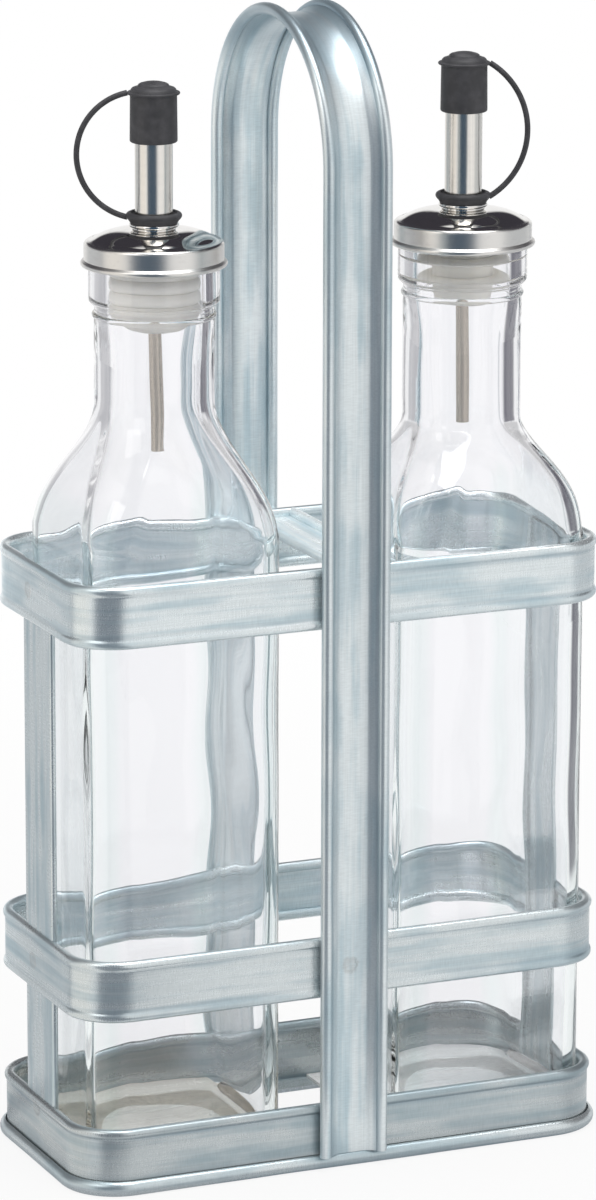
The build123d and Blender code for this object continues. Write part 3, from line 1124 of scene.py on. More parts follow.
@dataclass(frozen=True)
class Sweep:
    """A section swept along a path; waves are counted for each metre."""

    section: Sequence[Flat]
    path: Sequence[Point]
    closed: bool = False
    corner: float = 0.0
    corner_steps: int = 24
    step: float = 1.2
    wave: float = 0.0
    waves: float = 38.0
    seed: float = 0.0

    def mesh(self, name: str, finish: Finish) -> bpy.types.Mesh:
        """Sweep the section with the strip recipe.

        Args:
            name: Name of the mesh.
            finish: Its finish.

        Returns:
            The swept mesh.
        """
        form = chain("section", [(x, -y, 0) for x, y in self.section], True)
        mesh = STRIP.run(name, chain("path", self.path, self.closed), {
            "Section": form,
            "Corner Radius": self.corner * MM,
            "Corner Steps": self.corner_steps,
            "Step": self.step * MM,
            "Wave Depth": self.wave * MM,
            "Waves per Metre": self.waves,
            "Seed": self.seed,
            "Material": finish.material(),
        })
        bpy.data.objects.remove(form)
        return mesh


@dataclass(frozen=True)
class RibStack:
    """A stack of ribs; each rib is larger than the one under it by the growth."""

    count: int
    foot: float
    pitch: float
    inner: float
    outer: float
    height: float
    growth: float = 0.0
    steps_round: int = 96
    section_steps: int = 14

    def mesh(self, name: str, axis: Flat, finish: Finish) -> bpy.types.Mesh:
        """Stack the ribs about an upright axis with the rib recipe.

        Args:
            name: Name of the mesh.
            axis: X and Y of the axis.
            finish: Its finish.

        Returns:
            The mesh.
        """
        spot = chain("rib_foot", [(*axis, self.foot), (*axis, self.foot + 1)], False)
        return RIBS.run(name, spot, {
            "Count": self.count,
            "Pitch": self.pitch * MM,
            "Ring Radius": (self.inner + self.outer) / 2 * MM,
            "Rib Reach": (self.outer - self.inner) / 2 * MM,
            "Rib Height": self.height / 2 * MM,
            "Growth": self.growth,
            "Steps Round": self.steps_round,
            "Section Steps": self.section_steps,
            "Material": finish.material(),
        })


# ---------------------------------------------------------------------------
# Pieces and sub-assemblies
# ---------------------------------------------------------------------------
@dataclass(frozen=True)
class Piece:
    """An object and the finish that it was given."""

    item: bpy.types.Object
    finish: Finish


@dataclass
class Assembly(ABC):
    """A sub-assembly that dresses one or more bodies of the frame."""

    @abstractmethod
    def dress(self) -> list[Piece]:
        """Make and finish every piece; each sub-assembly has its own."""

    def fit(
        self, name: str, mesh: bpy.types.Mesh, finish: Finish, body: str, nodes: Sequence[str]
    ) -> Piece:
        """Put a mesh on a body in place of its plain solids.

        Args:
            name: Name of the piece.
            mesh: Its mesh, in place.
            finish: Its finish.
            body: The body that it rides on.
            nodes: The solids that it stands for.

        Returns:
            The piece.
        """
        item = linked(name, mesh)
        item.data.materials.clear()
        item.data.materials.append(finish.material())
        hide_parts(*nodes)
        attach(item, body)
        return Piece(item, finish)

    def coat(self, node: str, finish: Finish) -> Piece:
        """Give a solid of the frame its finish and keep it in view.

        Args:
            node: The solid.
            finish: Its finish.

        Returns:
            The piece.
        """
        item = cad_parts[node]
        item.data.materials.clear()
        item.data.materials.append(finish.material())
        return Piece(item, finish)


@dataclass(frozen=True)
class Band:
    """One band of the carrier: its edges, its painted light and shade and where its weld mark lies.
    """

    name: str
    foot: float
    top: float
    low_hem: bool
    level: float
    mark: Point
    painted_far_light: float
    crease_shade_share: float


@dataclass
class Carrier(Assembly):
    """Galvanised carrier: wired base rim, three bands, straps and the arched handle.

    The hem is a band's rolled edge, the bead is the wired edge round the base and the roll is
    an edge of the handle. What is proud stands that far outwards of the bands' web.
    """

    body: str = "carrier"
    length: float = 130.0
    depth: float = 60.0
    corner: float = 12.0
    sheet: float = 0.6
    hem: float = 2.4
    hem_proud: float = 0.45
    hem_hollow: float = 1.0
    hem_close: float = 250.0
    hem_end: float = 0.72
    hem_gap: float = 0.12
    hem_seat: float = 0.25
    low_crease: float = 0.4
    ledge: float = 0.8
    ledge_width: float = 7.0
    ledge_bend: float = 0.2
    bead: float = 3.4
    bead_proud: float = 1.5
    groove: float = 0.5
    strap_width: float = 17.4
    handle_width: float = 16.6
    handle_web: float = 7.4
    handle_sheet: float = 0.7
    handle_rise: float = 1.6
    handle_depth: float = 3.2
    handle_roll: float = 2.8
    handle_bend: float = 0.35
    handle_bend_lift: float = 0.05
    handle_crease: float = 5.6
    roll_reach: float = 0.93
    roll_turn: Flat = (158.0, -160.0)
    roll_inset: float = 0.1
    roll_seat: Flat = (-0.12, 0.1)
    handle_foot: float = 3.249
    handle_top: float = 264.5
    leg_inside: float = 30.45
    band_wave: float = 0.10
    rim_wave: float = 0.34
    handle_wave: float = 0.06
    # Levels fall towards the floor: painted shade, darker on the lower bands.
    bands: tuple[Band, ...] = (
        Band("bottom_band", 0.8, 15.4, low_hem=False, level=0.73,
             mark=(-65.2, 0.6, 12.6), painted_far_light=0.0, crease_shade_share=0.6),
        Band("middle_band", 40.8, 55.0, low_hem=True, level=0.90,
             mark=(-65.2, 2.3, 47.6), painted_far_light=0.20, crease_shade_share=0.35),
        Band("top_band", 127.2, 141.4, low_hem=True, level=1.0,
             mark=(-65.2, 3.4, 134.4), painted_far_light=0.20, crease_shade_share=0.35),
    )

    def ring_corners(self) -> list[Point]:
        """Corners of the outside of the bands' web, on the floor.

        Returns:
            The corners, in order.
        """
        x = self.length / 2
        y = self.depth / 2
        return [(-x, -y, 0), (x, -y, 0), (x, y, 0), (-x, y, 0)]

    def hem_arc(self, outline: Outline, middle: float) -> Outline:
        """Carry an outline up the web and round one rolled edge to the inner face.

        Args:
            outline: The outline, which has come up the outer face.
            middle: Height of the rolled edge's centre.

        Returns:
            The same outline, on the inner face.
        """
        radius = self.hem / 2
        centre = self.hem_proud - radius
        out = self.hem_hollow - centre
        drop = sqrt((radius + self.hem_hollow) ** 2 - out ** 2)
        lean = degrees(atan2(-drop, out))
        outline.arc((self.hem_hollow, middle - drop), self.hem_hollow, 180, 180 + lean, 6)
        outline.arc((centre, middle), radius, lean, self.hem_close, 22)
        return outline.to(
            (-self.sheet - self.hem_gap, middle - radius * self.hem_end),
            (-self.sheet, middle - radius - self.hem_seat))

    def band_section(self, band: Band) -> list[Flat]:
        """Section of a band as (outwards, height).

        Args:
            band: The band.

        Returns:
            The closed section.
        """
        roll = self.hem / 2
        if not band.low_hem:
            outline = self.hem_arc(Outline((0, band.foot)), band.top - roll)
            return outline.to((-self.sheet, band.foot)).tidy()
        middle = (band.foot + band.top) / 2
        outline = self.hem_arc(Outline((0, 0)), (band.top - band.foot) / 2 - roll)
        outline.to((-self.sheet, 0)).mirrored()
        return [(x, y + middle) for x, y in outline.tidy()]

    def rim_section(self) -> list[Flat]:
        """Section of the wired base edge and its ledge.

        Returns:
            The closed section as (outwards, height).
        """
        radius = self.bead / 2
        centre = self.bead_proud - radius
        rise = sqrt(radius ** 2 - (self.groove - centre) ** 2)
        start = degrees(atan2(rise, self.groove - centre))
        outline = Outline((-self.ledge_width, 0), (centre, 0))
        outline.arc((centre, radius), radius, -90, start, 22)
        outline.to((self.groove, self.ledge + self.ledge_bend), (self.ledge_bend, self.ledge))
        return outline.to((-self.ledge_width, self.ledge)).tidy()

    def handle_section(self) -> list[Flat]:
        """Section of the handle: web, sloping sides and rolled edges.

        Returns:
            The closed section as (across, outwards).
        """
        radius = self.handle_roll / 2
        roll = (self.handle_width / 2 - radius, self.handle_depth - radius)
        web = self.handle_web / 2
        sheet, bend = self.handle_sheet, self.handle_bend
        slope = self.handle_rise / (roll[0] - self.handle_roll / 3 - web)
        lifted = bend * slope + self.handle_bend_lift
        crease = roll[0] - radius * self.roll_reach
        inner_crease = crease + self.roll_inset
        outer_seat, inner_seat = self.roll_seat
        outline = Outline((0, sheet), (web - bend, sheet), (web + bend, sheet + lifted))
        outline.to((crease, sheet + (crease - web) * slope + outer_seat))
        outline.arc(roll, radius, *self.roll_turn, 30)
        outline.to((inner_crease, (inner_crease - web) * slope + inner_seat))
        outline.to((web + bend, lifted), (web - bend, 0), (0, 0))
        points = outline.tidy()
        return points + [(-x, y) for x, y in reversed(points) if x > 0]

    def make_room_for_straps(self, mesh: bpy.types.Mesh) -> None:
        """Flatten the inside of a band where an end strap passes it.

        Args:
            mesh: The band, which is changed.
        """
        inside = (self.length / 2 - self.sheet) * MM
        half = self.strap_width / 2 * MM
        for vertex in mesh.vertices:
            if abs(vertex.co.y) < half and 0.5 * inside < abs(vertex.co.x) < inside:
                vertex.co.x = inside if vertex.co.x > 0 else -inside

    def strips(self) -> list[Piece]:
        """Make the bands.

        Returns:
            Their pieces.
        """
        made = []
        for seed, band in enumerate(self.bands):
            low = band.foot + (self.hem if band.low_hem else self.low_crease)
            # The creases beside the hems are painted shade along the band's rolled edges.
            finish = GalvanisedZinc(
                f"zinc_{band.name}", Slot.ZINC, Grain.LEVEL, seed=10.0 * seed,
                level=band.level, marks=(band.mark,), creases=(low, band.top - self.hem),
                painted_far_light=band.painted_far_light, crease_shade_share=band.crease_shade_share)
            sweep = Sweep(
                self.band_section(band), self.ring_corners(), closed=True, corner=self.corner,
                wave=self.band_wave, seed=3.0 + seed)
            mesh = sweep.mesh(band.name, finish)
            self.make_room_for_straps(mesh)
            made.append(self.fit(f"{band.name}_strip", mesh, finish, self.body, [band.name]))
        return made

    def rim(self) -> Piece:
        """Make the wired edge round the base.

        Returns:
            Its piece.
        """
        # The crease at the rim's foot is painted shade where the bead meets the floor.
        finish = GalvanisedZinc(
            "zinc_rim", Slot.ZINC, Grain.LEVEL, seed=40.0, level=0.90, creases=(0.1,),
            crease_shade_share=0.75)
        sweep = Sweep(
            self.rim_section(), self.ring_corners(), closed=True, corner=self.corner,
            wave=self.rim_wave, seed=9.0)
        mesh = sweep.mesh("base_rim", finish)
        return self.fit("base_rim_wired_edge", mesh, finish, self.body, ["base_rim"])

    def handle(self) -> Piece:
        """Make the arched handle.

        Returns:
            Its piece.
        """
        # Painted shade over the top of the arch and along the rolls' creases; painted light on the
        # far leg.
        finish = GalvanisedZinc(
            "zinc_handle", Slot.ZINC, Grain.ALONG_HANDLE, seed=50.0,
            marks=((-0.5, -31.2, 48.2),), creases=(-self.handle_crease, self.handle_crease),
            crease_shade_share=0.42, polish=0.28, painted_far_light=0.22, painted_shade_foot=246.0)
        y = self.leg_inside
        foot, top = self.handle_foot, self.handle_top - self.handle_depth
        path = [(0, -y, foot), (0, -y, top), (0, y, top), (0, y, foot)]
        sweep = Sweep(self.handle_section(), path, corner=y, wave=self.handle_wave, seed=12.0)
        mesh = sweep.mesh("handle", finish)
        return self.fit("handle_strip", mesh, finish, self.body, ["carrying_handle"])

    def dress(self) -> list[Piece]:
        """Make and coat every piece of the carrier.

        Returns:
            The pieces.
        """
        upright = GalvanisedZinc(
            "zinc_end_straps", Slot.ZINC, Grain.ALONG_STRAP, seed=60.0, level=0.93)
        # The divider's level of 1.3 is painted light on its upward face.
        across = GalvanisedZinc(
            "zinc_divider", Slot.ZINC, Grain.ALONG_HANDLE, seed=70.0, level=1.3, metallic=0.25)
        welds = GalvanisedZinc(
            "zinc_welds", Slot.ZINC, Grain.ALONG_HANDLE, seed=75.0, level=0.8)
        left_plate = GalvanisedZinc(
            "zinc_left_plate", Slot.ZINC, Grain.ALONG_STRAP, seed=80.0, metallic=0.0,
            bright=(0.97, 0.93, 0.85, 1), blue=(0.86, 0.82, 0.74, 1), chalk=(0.98, 0.96, 0.91, 1))
        right_plate = GalvanisedZinc(
            "zinc_right_plate", Slot.ZINC, Grain.ALONG_STRAP, seed=85.0, metallic=0.0,
            bright=(0.97, 0.975, 0.97, 1), blue=(0.88, 0.90, 0.91, 1),
            chalk=(0.98, 0.98, 0.975, 1))
        return self.strips() + [
            self.rim(),
            self.handle(),
            self.coat("left_end_strap", upright),
            self.coat("right_end_strap", upright),
            self.coat("divider_strap", across),
            self.coat("handle_welds", welds),
            self.coat("left_base_plate", left_plate),
            self.coat("right_base_plate", right_plate),
        ]


@dataclass(frozen=True)
class Ripple:
    """A slow wave of the mould, wound round the bottle as it climbs."""

    share: float
    climb: float
    count: int
    phase: float


@dataclass
class Bottle(Assembly):
    """Square pressed-glass bottle with a thick foot, a wavy inner wall and a collar.

    Width, neck and collar are of the outer form. The throat is what the neck's wall gains, and
    the waves calm down over the shoulder and are still at the mouth.
    """

    station: Station
    shoulder_foot: float
    seed: float
    width: float = 47.0
    corner: float = 9.0
    wall: float = 2.8
    floor: float = 5.5
    foot: float = 1.6
    base_round: float = 3.0
    base_gap: float = 1.5
    base_parts: Point = (0.35, 0.7, 0.97)
    base_bend: float = 0.6
    least_bend: float = 0.8
    push_up: float = 0.1
    push_up_radius: float = 15.0
    push_up_parts: tuple[float, ...] = (0.3, 0.55, 0.8, 1.0)
    shoulder_height: float = 30.0
    shoulder_fullness: float = 1.05
    neck: float = 13.5
    neck_flat: float = 0.25
    throat: float = 1.3
    throat_top: float = 198.0
    throat_taper: float = 16.0
    collar: float = 14.75
    collar_foot: float = 198.2
    collar_round: float = 0.95
    collar_edge: float = 0.8
    collar_fillet: float = 0.6
    collar_gap: Flat = (0.05, 0.1)
    ring_height: float = 196.4
    ring_radius: float = 0.9
    ring_sink: float = 0.15
    ring_share: float = 0.75
    ring_gap: float = 0.6
    lip: float = 210.0
    lip_round: float = 1.0
    bore_round: float = 0.6
    bore_gap: float = 1.4
    steps_round: int = 176
    body_step: float = 2.4
    neck_step: float = 1.5
    shoulder_steps: int = 34
    outer_wave: float = 0.05
    inner_wave: float = 0.34
    ripples: tuple[Ripple, ...] = (
        Ripple(1.0, 9.0, 2, 1.0), Ripple(0.7, 5.1, -3, 2.1), Ripple(0.5, 15.0, 5, 0.7))
    calm_reach: float = 12.0
    calm_share: float = 0.75
    still_height: float = 195.5

    def form(self, height: float, inset: float) -> Flat:
        """Half width and corner radius of the form at one height.

        Args:
            height: Height above the floor.
            inset: How far the form is drawn in.

        Returns:
            Half width and corner radius.
        """
        part = climbed(height, self.shoulder_foot, self.shoulder_height)
        fall = (1 + cos(pi * part ** self.shoulder_fullness)) / 2
        half = self.neck - inset + (self.width / 2 - self.neck) * fall
        bend = self.corner - inset + (self.neck - self.corner) * sqrt(part)
        return half, min(bend, half - self.neck_flat)

    def waver(self, height: float, turns: np.ndarray) -> np.ndarray:
        """Ripples round the wall at one height.

        Args:
            height: Height above the floor.
            turns: Directions round the axis.

        Returns:
            Their sum, within 1 either way.
        """
        total = np.zeros_like(turns)
        for ripple in self.ripples:
            start = height / ripple.climb + ripple.phase * self.seed
            total = total + ripple.share * np.sin(start + ripple.count * turns)
        return total / sum(ripple.share for ripple in self.ripples)

    def ring(self, height: float, half: float, bend: float, wave: float = 0.0) -> np.ndarray:
        """Points of one rounded square.

        Args:
            height: Its height.
            half: Its half width.
            bend: Its corner radius.
            wave: How far the wall wavers in and out.

        Returns:
            An array of points.
        """
        turns = (np.arange(self.steps_round) + 0.5) * tau / self.steps_round
        across, along = np.cos(turns), np.sin(turns)
        large = np.maximum(np.abs(across), np.abs(along))
        small = np.minimum(np.abs(across), np.abs(along))
        centre = half - bend
        straight = half / large
        total = centre * (large + small)
        curved = total + np.sqrt(np.maximum(total ** 2 - 2 * centre ** 2 + bend ** 2, 0))
        radius = np.where(straight * small <= centre, straight, curved)
        radius = radius + wave * self.waver(height, turns)
        x = self.station.x + radius * across
        y = self.station.y + radius * along
        return np.stack([x, y, np.full(self.steps_round, height)], axis=1)

    def base_rings(self, foot: float, inset: float, wave: float) -> list[np.ndarray]:
        """Rings of a rounded bottom edge, from the flat of the base to the wall.

        Args:
            foot: Height of the flat.
            inset: How far the form is drawn in.
            wave: Waver of the wall.

        Returns:
            The rings, inner one first.
        """
        half, bend = self.form(foot, inset)
        flat = half - self.base_round
        rings = [
            self.ring(foot, flat * part, flat * part * self.base_bend)
            for part in self.base_parts
        ]
        steps = 6
        for step in range(steps + 1):
            turn = pi / 2 * step / steps
            back = self.base_round * (1 - sin(turn))
            height = foot + self.base_round * (1 - cos(turn))
            corner = max(bend - back, self.least_bend)
            rings.append(self.ring(height, half - back, corner, wave * step / steps))
        return rings

    def wall_rings(self, foot: float, top: float, inset: float, wave: float) -> list[np.ndarray]:
        """Rings up the wall, the shoulder and the neck.

        Args:
            foot: Height of the first ring.
            top: Height of the last ring.
            inset: How far the form is drawn in.
            wave: Waver of the wall.

        Returns:
            The rings, lowest first.
        """
        body = np.arange(foot, self.shoulder_foot, self.body_step)
        parts = np.linspace(0, 1, self.shoulder_steps)
        shoulder = self.shoulder_foot + parts * self.shoulder_height
        neck = np.arange(shoulder[-1] + self.neck_step, top, self.neck_step)
        rings = []
        for height in np.concatenate([body, shoulder, neck, [top]]):
            upward = climbed(height, self.shoulder_foot, self.shoulder_height)
            below_mouth = climbed(self.throat_top, height, self.throat_taper)
            thicker = self.throat * min(inset, 1) * upward * (1 - cos(pi * below_mouth)) / 2
            half, bend = self.form(height, inset + thicker)
            calm = 1 - self.calm_share * climbed(height, self.shoulder_foot, self.calm_reach)
            still = climbed(self.still_height, height, self.calm_reach)
            rings.append(self.ring(height, half, bend, wave * still * calm))
        return rings

    def round_ring(self, height: float, radius: float) -> np.ndarray:
        """Points of one circle about the bottle's axis."""
        return self.ring(height, radius, radius - HAIR)

    def mouth_rings(self) -> list[np.ndarray]:
        """Rings of the thin ring, the collar and the lip, from the neck over to the bore.

        Returns:
            The rings, in order.
        """
        bore = self.neck - self.wall
        fillet, edge, outer, inner = (
            self.collar_fillet, self.collar_round, self.lip_round, self.bore_round)
        thin = self.ring_radius * self.ring_share
        gap, rise = self.collar_gap
        low = Outline()
        low.arc((self.neck - self.ring_sink, self.ring_height), thin, -75, 75, 10)
        low.arc((self.neck + fillet + gap, self.collar_foot + rise), fillet, 185, 100, 5)
        low.arc(
            (self.collar - edge, self.collar_foot + self.collar_edge + edge), edge, -75, 0, 8)
        low.arc((self.collar - outer, self.lip - outer), outer, 0, 90, 8)
        low.arc((bore + inner, self.lip - inner), inner, 90, 180, 6)
        return [self.round_ring(height, radius) for radius, height in low.tidy()]

    def pole(self, height: float) -> np.ndarray:
        """Single point of the axis that closes a skin."""
        return np.array([[*self.station.axis, height]])

    def mesh(self) -> bpy.types.Mesh:
        """Skin the whole bottle, outside and inside, as one closed wall.

        Returns:
            The mesh.
        """
        outside = [self.pole(self.foot + self.push_up)]
        for part in self.push_up_parts:
            height = self.foot + self.push_up * (1 - part ** 2) ** 2
            outside.append(self.round_ring(height, self.push_up_radius * part))
        # The push-up's rings stand for the first two of the flat.
        outside += self.base_rings(self.foot, 0, self.outer_wave)[2:]
        above_base = self.base_round + self.base_gap
        below_ring = self.ring_height - self.ring_radius - self.ring_gap
        outside += self.wall_rings(self.foot + above_base, below_ring, 0, self.outer_wave)
        outside += self.mouth_rings()
        floor = self.foot + self.floor
        inside = [self.pole(floor)] + self.base_rings(floor, self.wall, self.inner_wave)
        below_lip = self.lip - self.bore_gap
        inside += self.wall_rings(floor + above_base, below_lip, self.wall, self.inner_wave)
        return rings_mesh(self.station.called("bottle"), outside + inside[::-1], closed=False)

    def dress(self) -> list[Piece]:
        """Make the glass.

        Returns:
            Its piece.
        """
        name = self.station.called("bottle")
        glass = BottleGlass(f"{name}_glass", Slot.GLASS, self.station.axis)
        return [self.fit(f"{name}_glass", self.mesh(), glass, name, [name])]


@dataclass
class Pourer(Assembly):
    """Steel pourer: cover over the collar, ribbed ferrule, spout, air tube and soft stopper.

    The shoulder is where the cover's skirt turns into its dome, which rises to the crown. The
    foot form is the stopper's lower end, as corners of (radius, height).
    """

    station: Station
    tube_lean: float
    fins: RibStack
    foot_form: tuple[Flat, ...]
    lip: float = 210.0
    stopper_core: float = 6.3
    stopper_head: float = 14.9
    stopper_head_height: float = 2.2
    stopper_play: float = 0.02
    stopper_bend: float = 0.3
    stopper_round: float = 0.4
    stopper_hollow: float = 2.6
    stopper_seat: float = 0.2
    spout_radius: float = 4.25
    spout_wall: float = 0.5
    spout_foot: float = 200.0
    spout_top: float = 241.0
    spout_steps: int = 96
    tube_radius: float = 1.5
    tube_wall: float = 0.35
    tube_foot: float = 164.9
    tube_top: float = 195.0
    tube_steps: int = 48
    cover_sheet: float = 0.5
    cover_radius: float = 15.75
    flange: float = 16.5
    cover_foot: float = 207.4
    cover_steps: int = 144
    shoulder: float = 213.1
    shoulder_round: float = 1.0
    inner_round: float = 0.6
    flange_step: float = 0.25
    dome_start: float = 1.5
    dome_lift: float = 0.04
    dome_steps: int = 14
    hole_play: float = 0.05
    crown: float = 215.5
    crown_fullness: float = 3.0
    ferrule: RibStack = RibStack(
        count=2, foot=215.85, pitch=0.8, inner=4.1, outer=4.95, height=0.85, growth=0.13)

    def dome(self, edge_height: float) -> list[Flat]:
        """Points of the shallow dome, from its edge in to the spout's hole.

        Args:
            edge_height: Height at the edge.

        Returns:
            Corners as (radius, height).
        """
        hole = self.spout_radius + self.hole_play
        edge = self.cover_radius - self.dome_start
        rise = self.crown - self.shoulder - self.dome_lift
        points = []
        for step in range(self.dome_steps + 1):
            part = step / self.dome_steps
            swell = 1 - (1 - part) ** self.crown_fullness
            points.append((edge + (hole - edge) * part, edge_height + rise * swell))
        return points

    def cover(self) -> bpy.types.Mesh:
        """Pressed cover: rolled flange, skirt, rounded shoulder, shallow dome and spout hole.

        Returns:
            The mesh.
        """
        bead = (self.flange - self.cover_radius + self.cover_sheet) / 2
        inner = self.cover_radius - self.cover_sheet
        bend, inner_bend = self.shoulder_round, self.inner_round
        outline = Outline()
        outline.arc((self.flange - bead, self.cover_foot + bead), bead, -180, 62, 18)
        outline.to((self.cover_radius, self.cover_foot + 2 * bead + self.flange_step))
        outline.arc((self.cover_radius - bend, self.shoulder - bend), bend, 0, 78, 10)
        outline.to(*self.dome(self.shoulder + self.dome_lift))
        outline.to((self.spout_radius + self.hole_play, self.crown - self.cover_sheet))
        under = self.shoulder - self.cover_sheet
        outline.to(*self.dome(under)[-2:0:-1])
        outline.arc((inner - inner_bend, under - inner_bend), inner_bend, 80, 0, 5)
        outline.to((inner, self.cover_foot + bead))
        name = self.station.called("cover")
        return lathe(name, outline.tidy(), self.station.axis, self.cover_steps)

    def spout(self) -> bpy.types.Mesh:
        """Straight spout tube with a softened rim.

        Returns:
            The mesh.
        """
        inner = self.spout_radius - self.spout_wall
        half = self.spout_wall / 2
        outline = Outline((inner, self.spout_foot), (self.spout_radius, self.spout_foot))
        outline.arc((self.spout_radius - half, self.spout_top - half), half, 0, 180, 8)
        name = self.station.called("spout")
        return lathe(name, outline.tidy(), self.station.axis, self.spout_steps)

    def air_tube(self) -> bpy.types.Mesh:
        """Thin air tube, leaning a little as it hangs in the bottle.

        Returns:
            The mesh.
        """
        inner, outer = self.tube_radius - self.tube_wall, self.tube_radius
        foot, top = self.tube_foot, self.tube_top
        outline = [(inner, foot), (outer, foot), (outer, top), (inner, top)]
        name = self.station.called("air_tube")
        mesh = lathe(name, outline, self.station.axis, self.tube_steps)
        for vertex in mesh.vertices:
            vertex.co.x += (top * MM - vertex.co.z) * self.tube_lean
        return mesh

    def stopper(self) -> bpy.types.Mesh:
        """Soft stopper: core, hollow foot and the disc on the glass, under its fins.

        Returns:
            The mesh.
        """
        top = self.lip + self.stopper_head_height
        hole = self.spout_radius - self.stopper_play
        inner = self.spout_radius - self.spout_wall
        foot = self.foot_form[0][1]
        roof = foot + self.stopper_hollow
        seat = self.spout_foot - self.stopper_seat
        bend, rounding = self.stopper_bend, self.stopper_round
        core, head = self.stopper_core, self.stopper_head
        outline = Outline((self.tube_radius, foot), *self.foot_form)
        outline.to((core, self.fins.foot), (core, self.lip - bend))
        outline.arc((core + bend, self.lip - bend), bend, 180, 90, 4)
        outline.to((head - bend, self.lip))
        outline.arc((head - bend, self.lip + bend), bend, -90, 0, 4)
        outline.arc((head - rounding, top - rounding), rounding, 0, 90, 4)
        outline.to((hole, top), (hole, self.spout_foot), (inner, seat))
        outline.to((inner, roof), (self.tube_radius, roof))
        return lathe(self.station.called("stopper"), outline.tidy(), self.station.axis)

    def dress(self) -> list[Piece]:
        """Make every piece of the pourer.

        Returns:
            The pieces.
        """
        called = self.station.called
        axis = self.station.axis
        polished = PolishedSteel("pourer_polished_steel", Slot.POLISHED)
        drawn = DrawnSteel("pourer_drawn_steel", Slot.DRAWN)
        # The air tube's steel is a darker, warmer copy of the drawn steel: painted shade for the
        # darker reflections it shows inside the bottle.
        dark = DrawnSteel(
            "air_tube_steel", Slot.DRAWN, tone=(0.62, 0.57, 0.50, 1), shade=(0.34, 0.305, 0.265, 1))
        plastic = StopperPlastic("stopper_soft_plastic", Slot.PLASTIC)
        ferrule = self.ferrule.mesh(called("ferrule"), axis, polished)
        fins = self.fins.mesh(called("fins"), axis, plastic)
        rows = (
            ("cover", self.cover(), polished, "pourer_cover"),
            ("ferrule", ferrule, polished, "spout_ferrule"),
            ("spout", self.spout(), drawn, "spout"),
            ("air_tube", self.air_tube(), dark, "air_tube"),
            ("stopper", self.stopper(), plastic, "stopper"),
            ("fins", fins, plastic, "stopper"),
        )
        body = called("pourer")
        return [
            self.fit(f"{body}_{name}", mesh, finish, body, [called(node)])
            for name, mesh, finish, node in rows
        ]


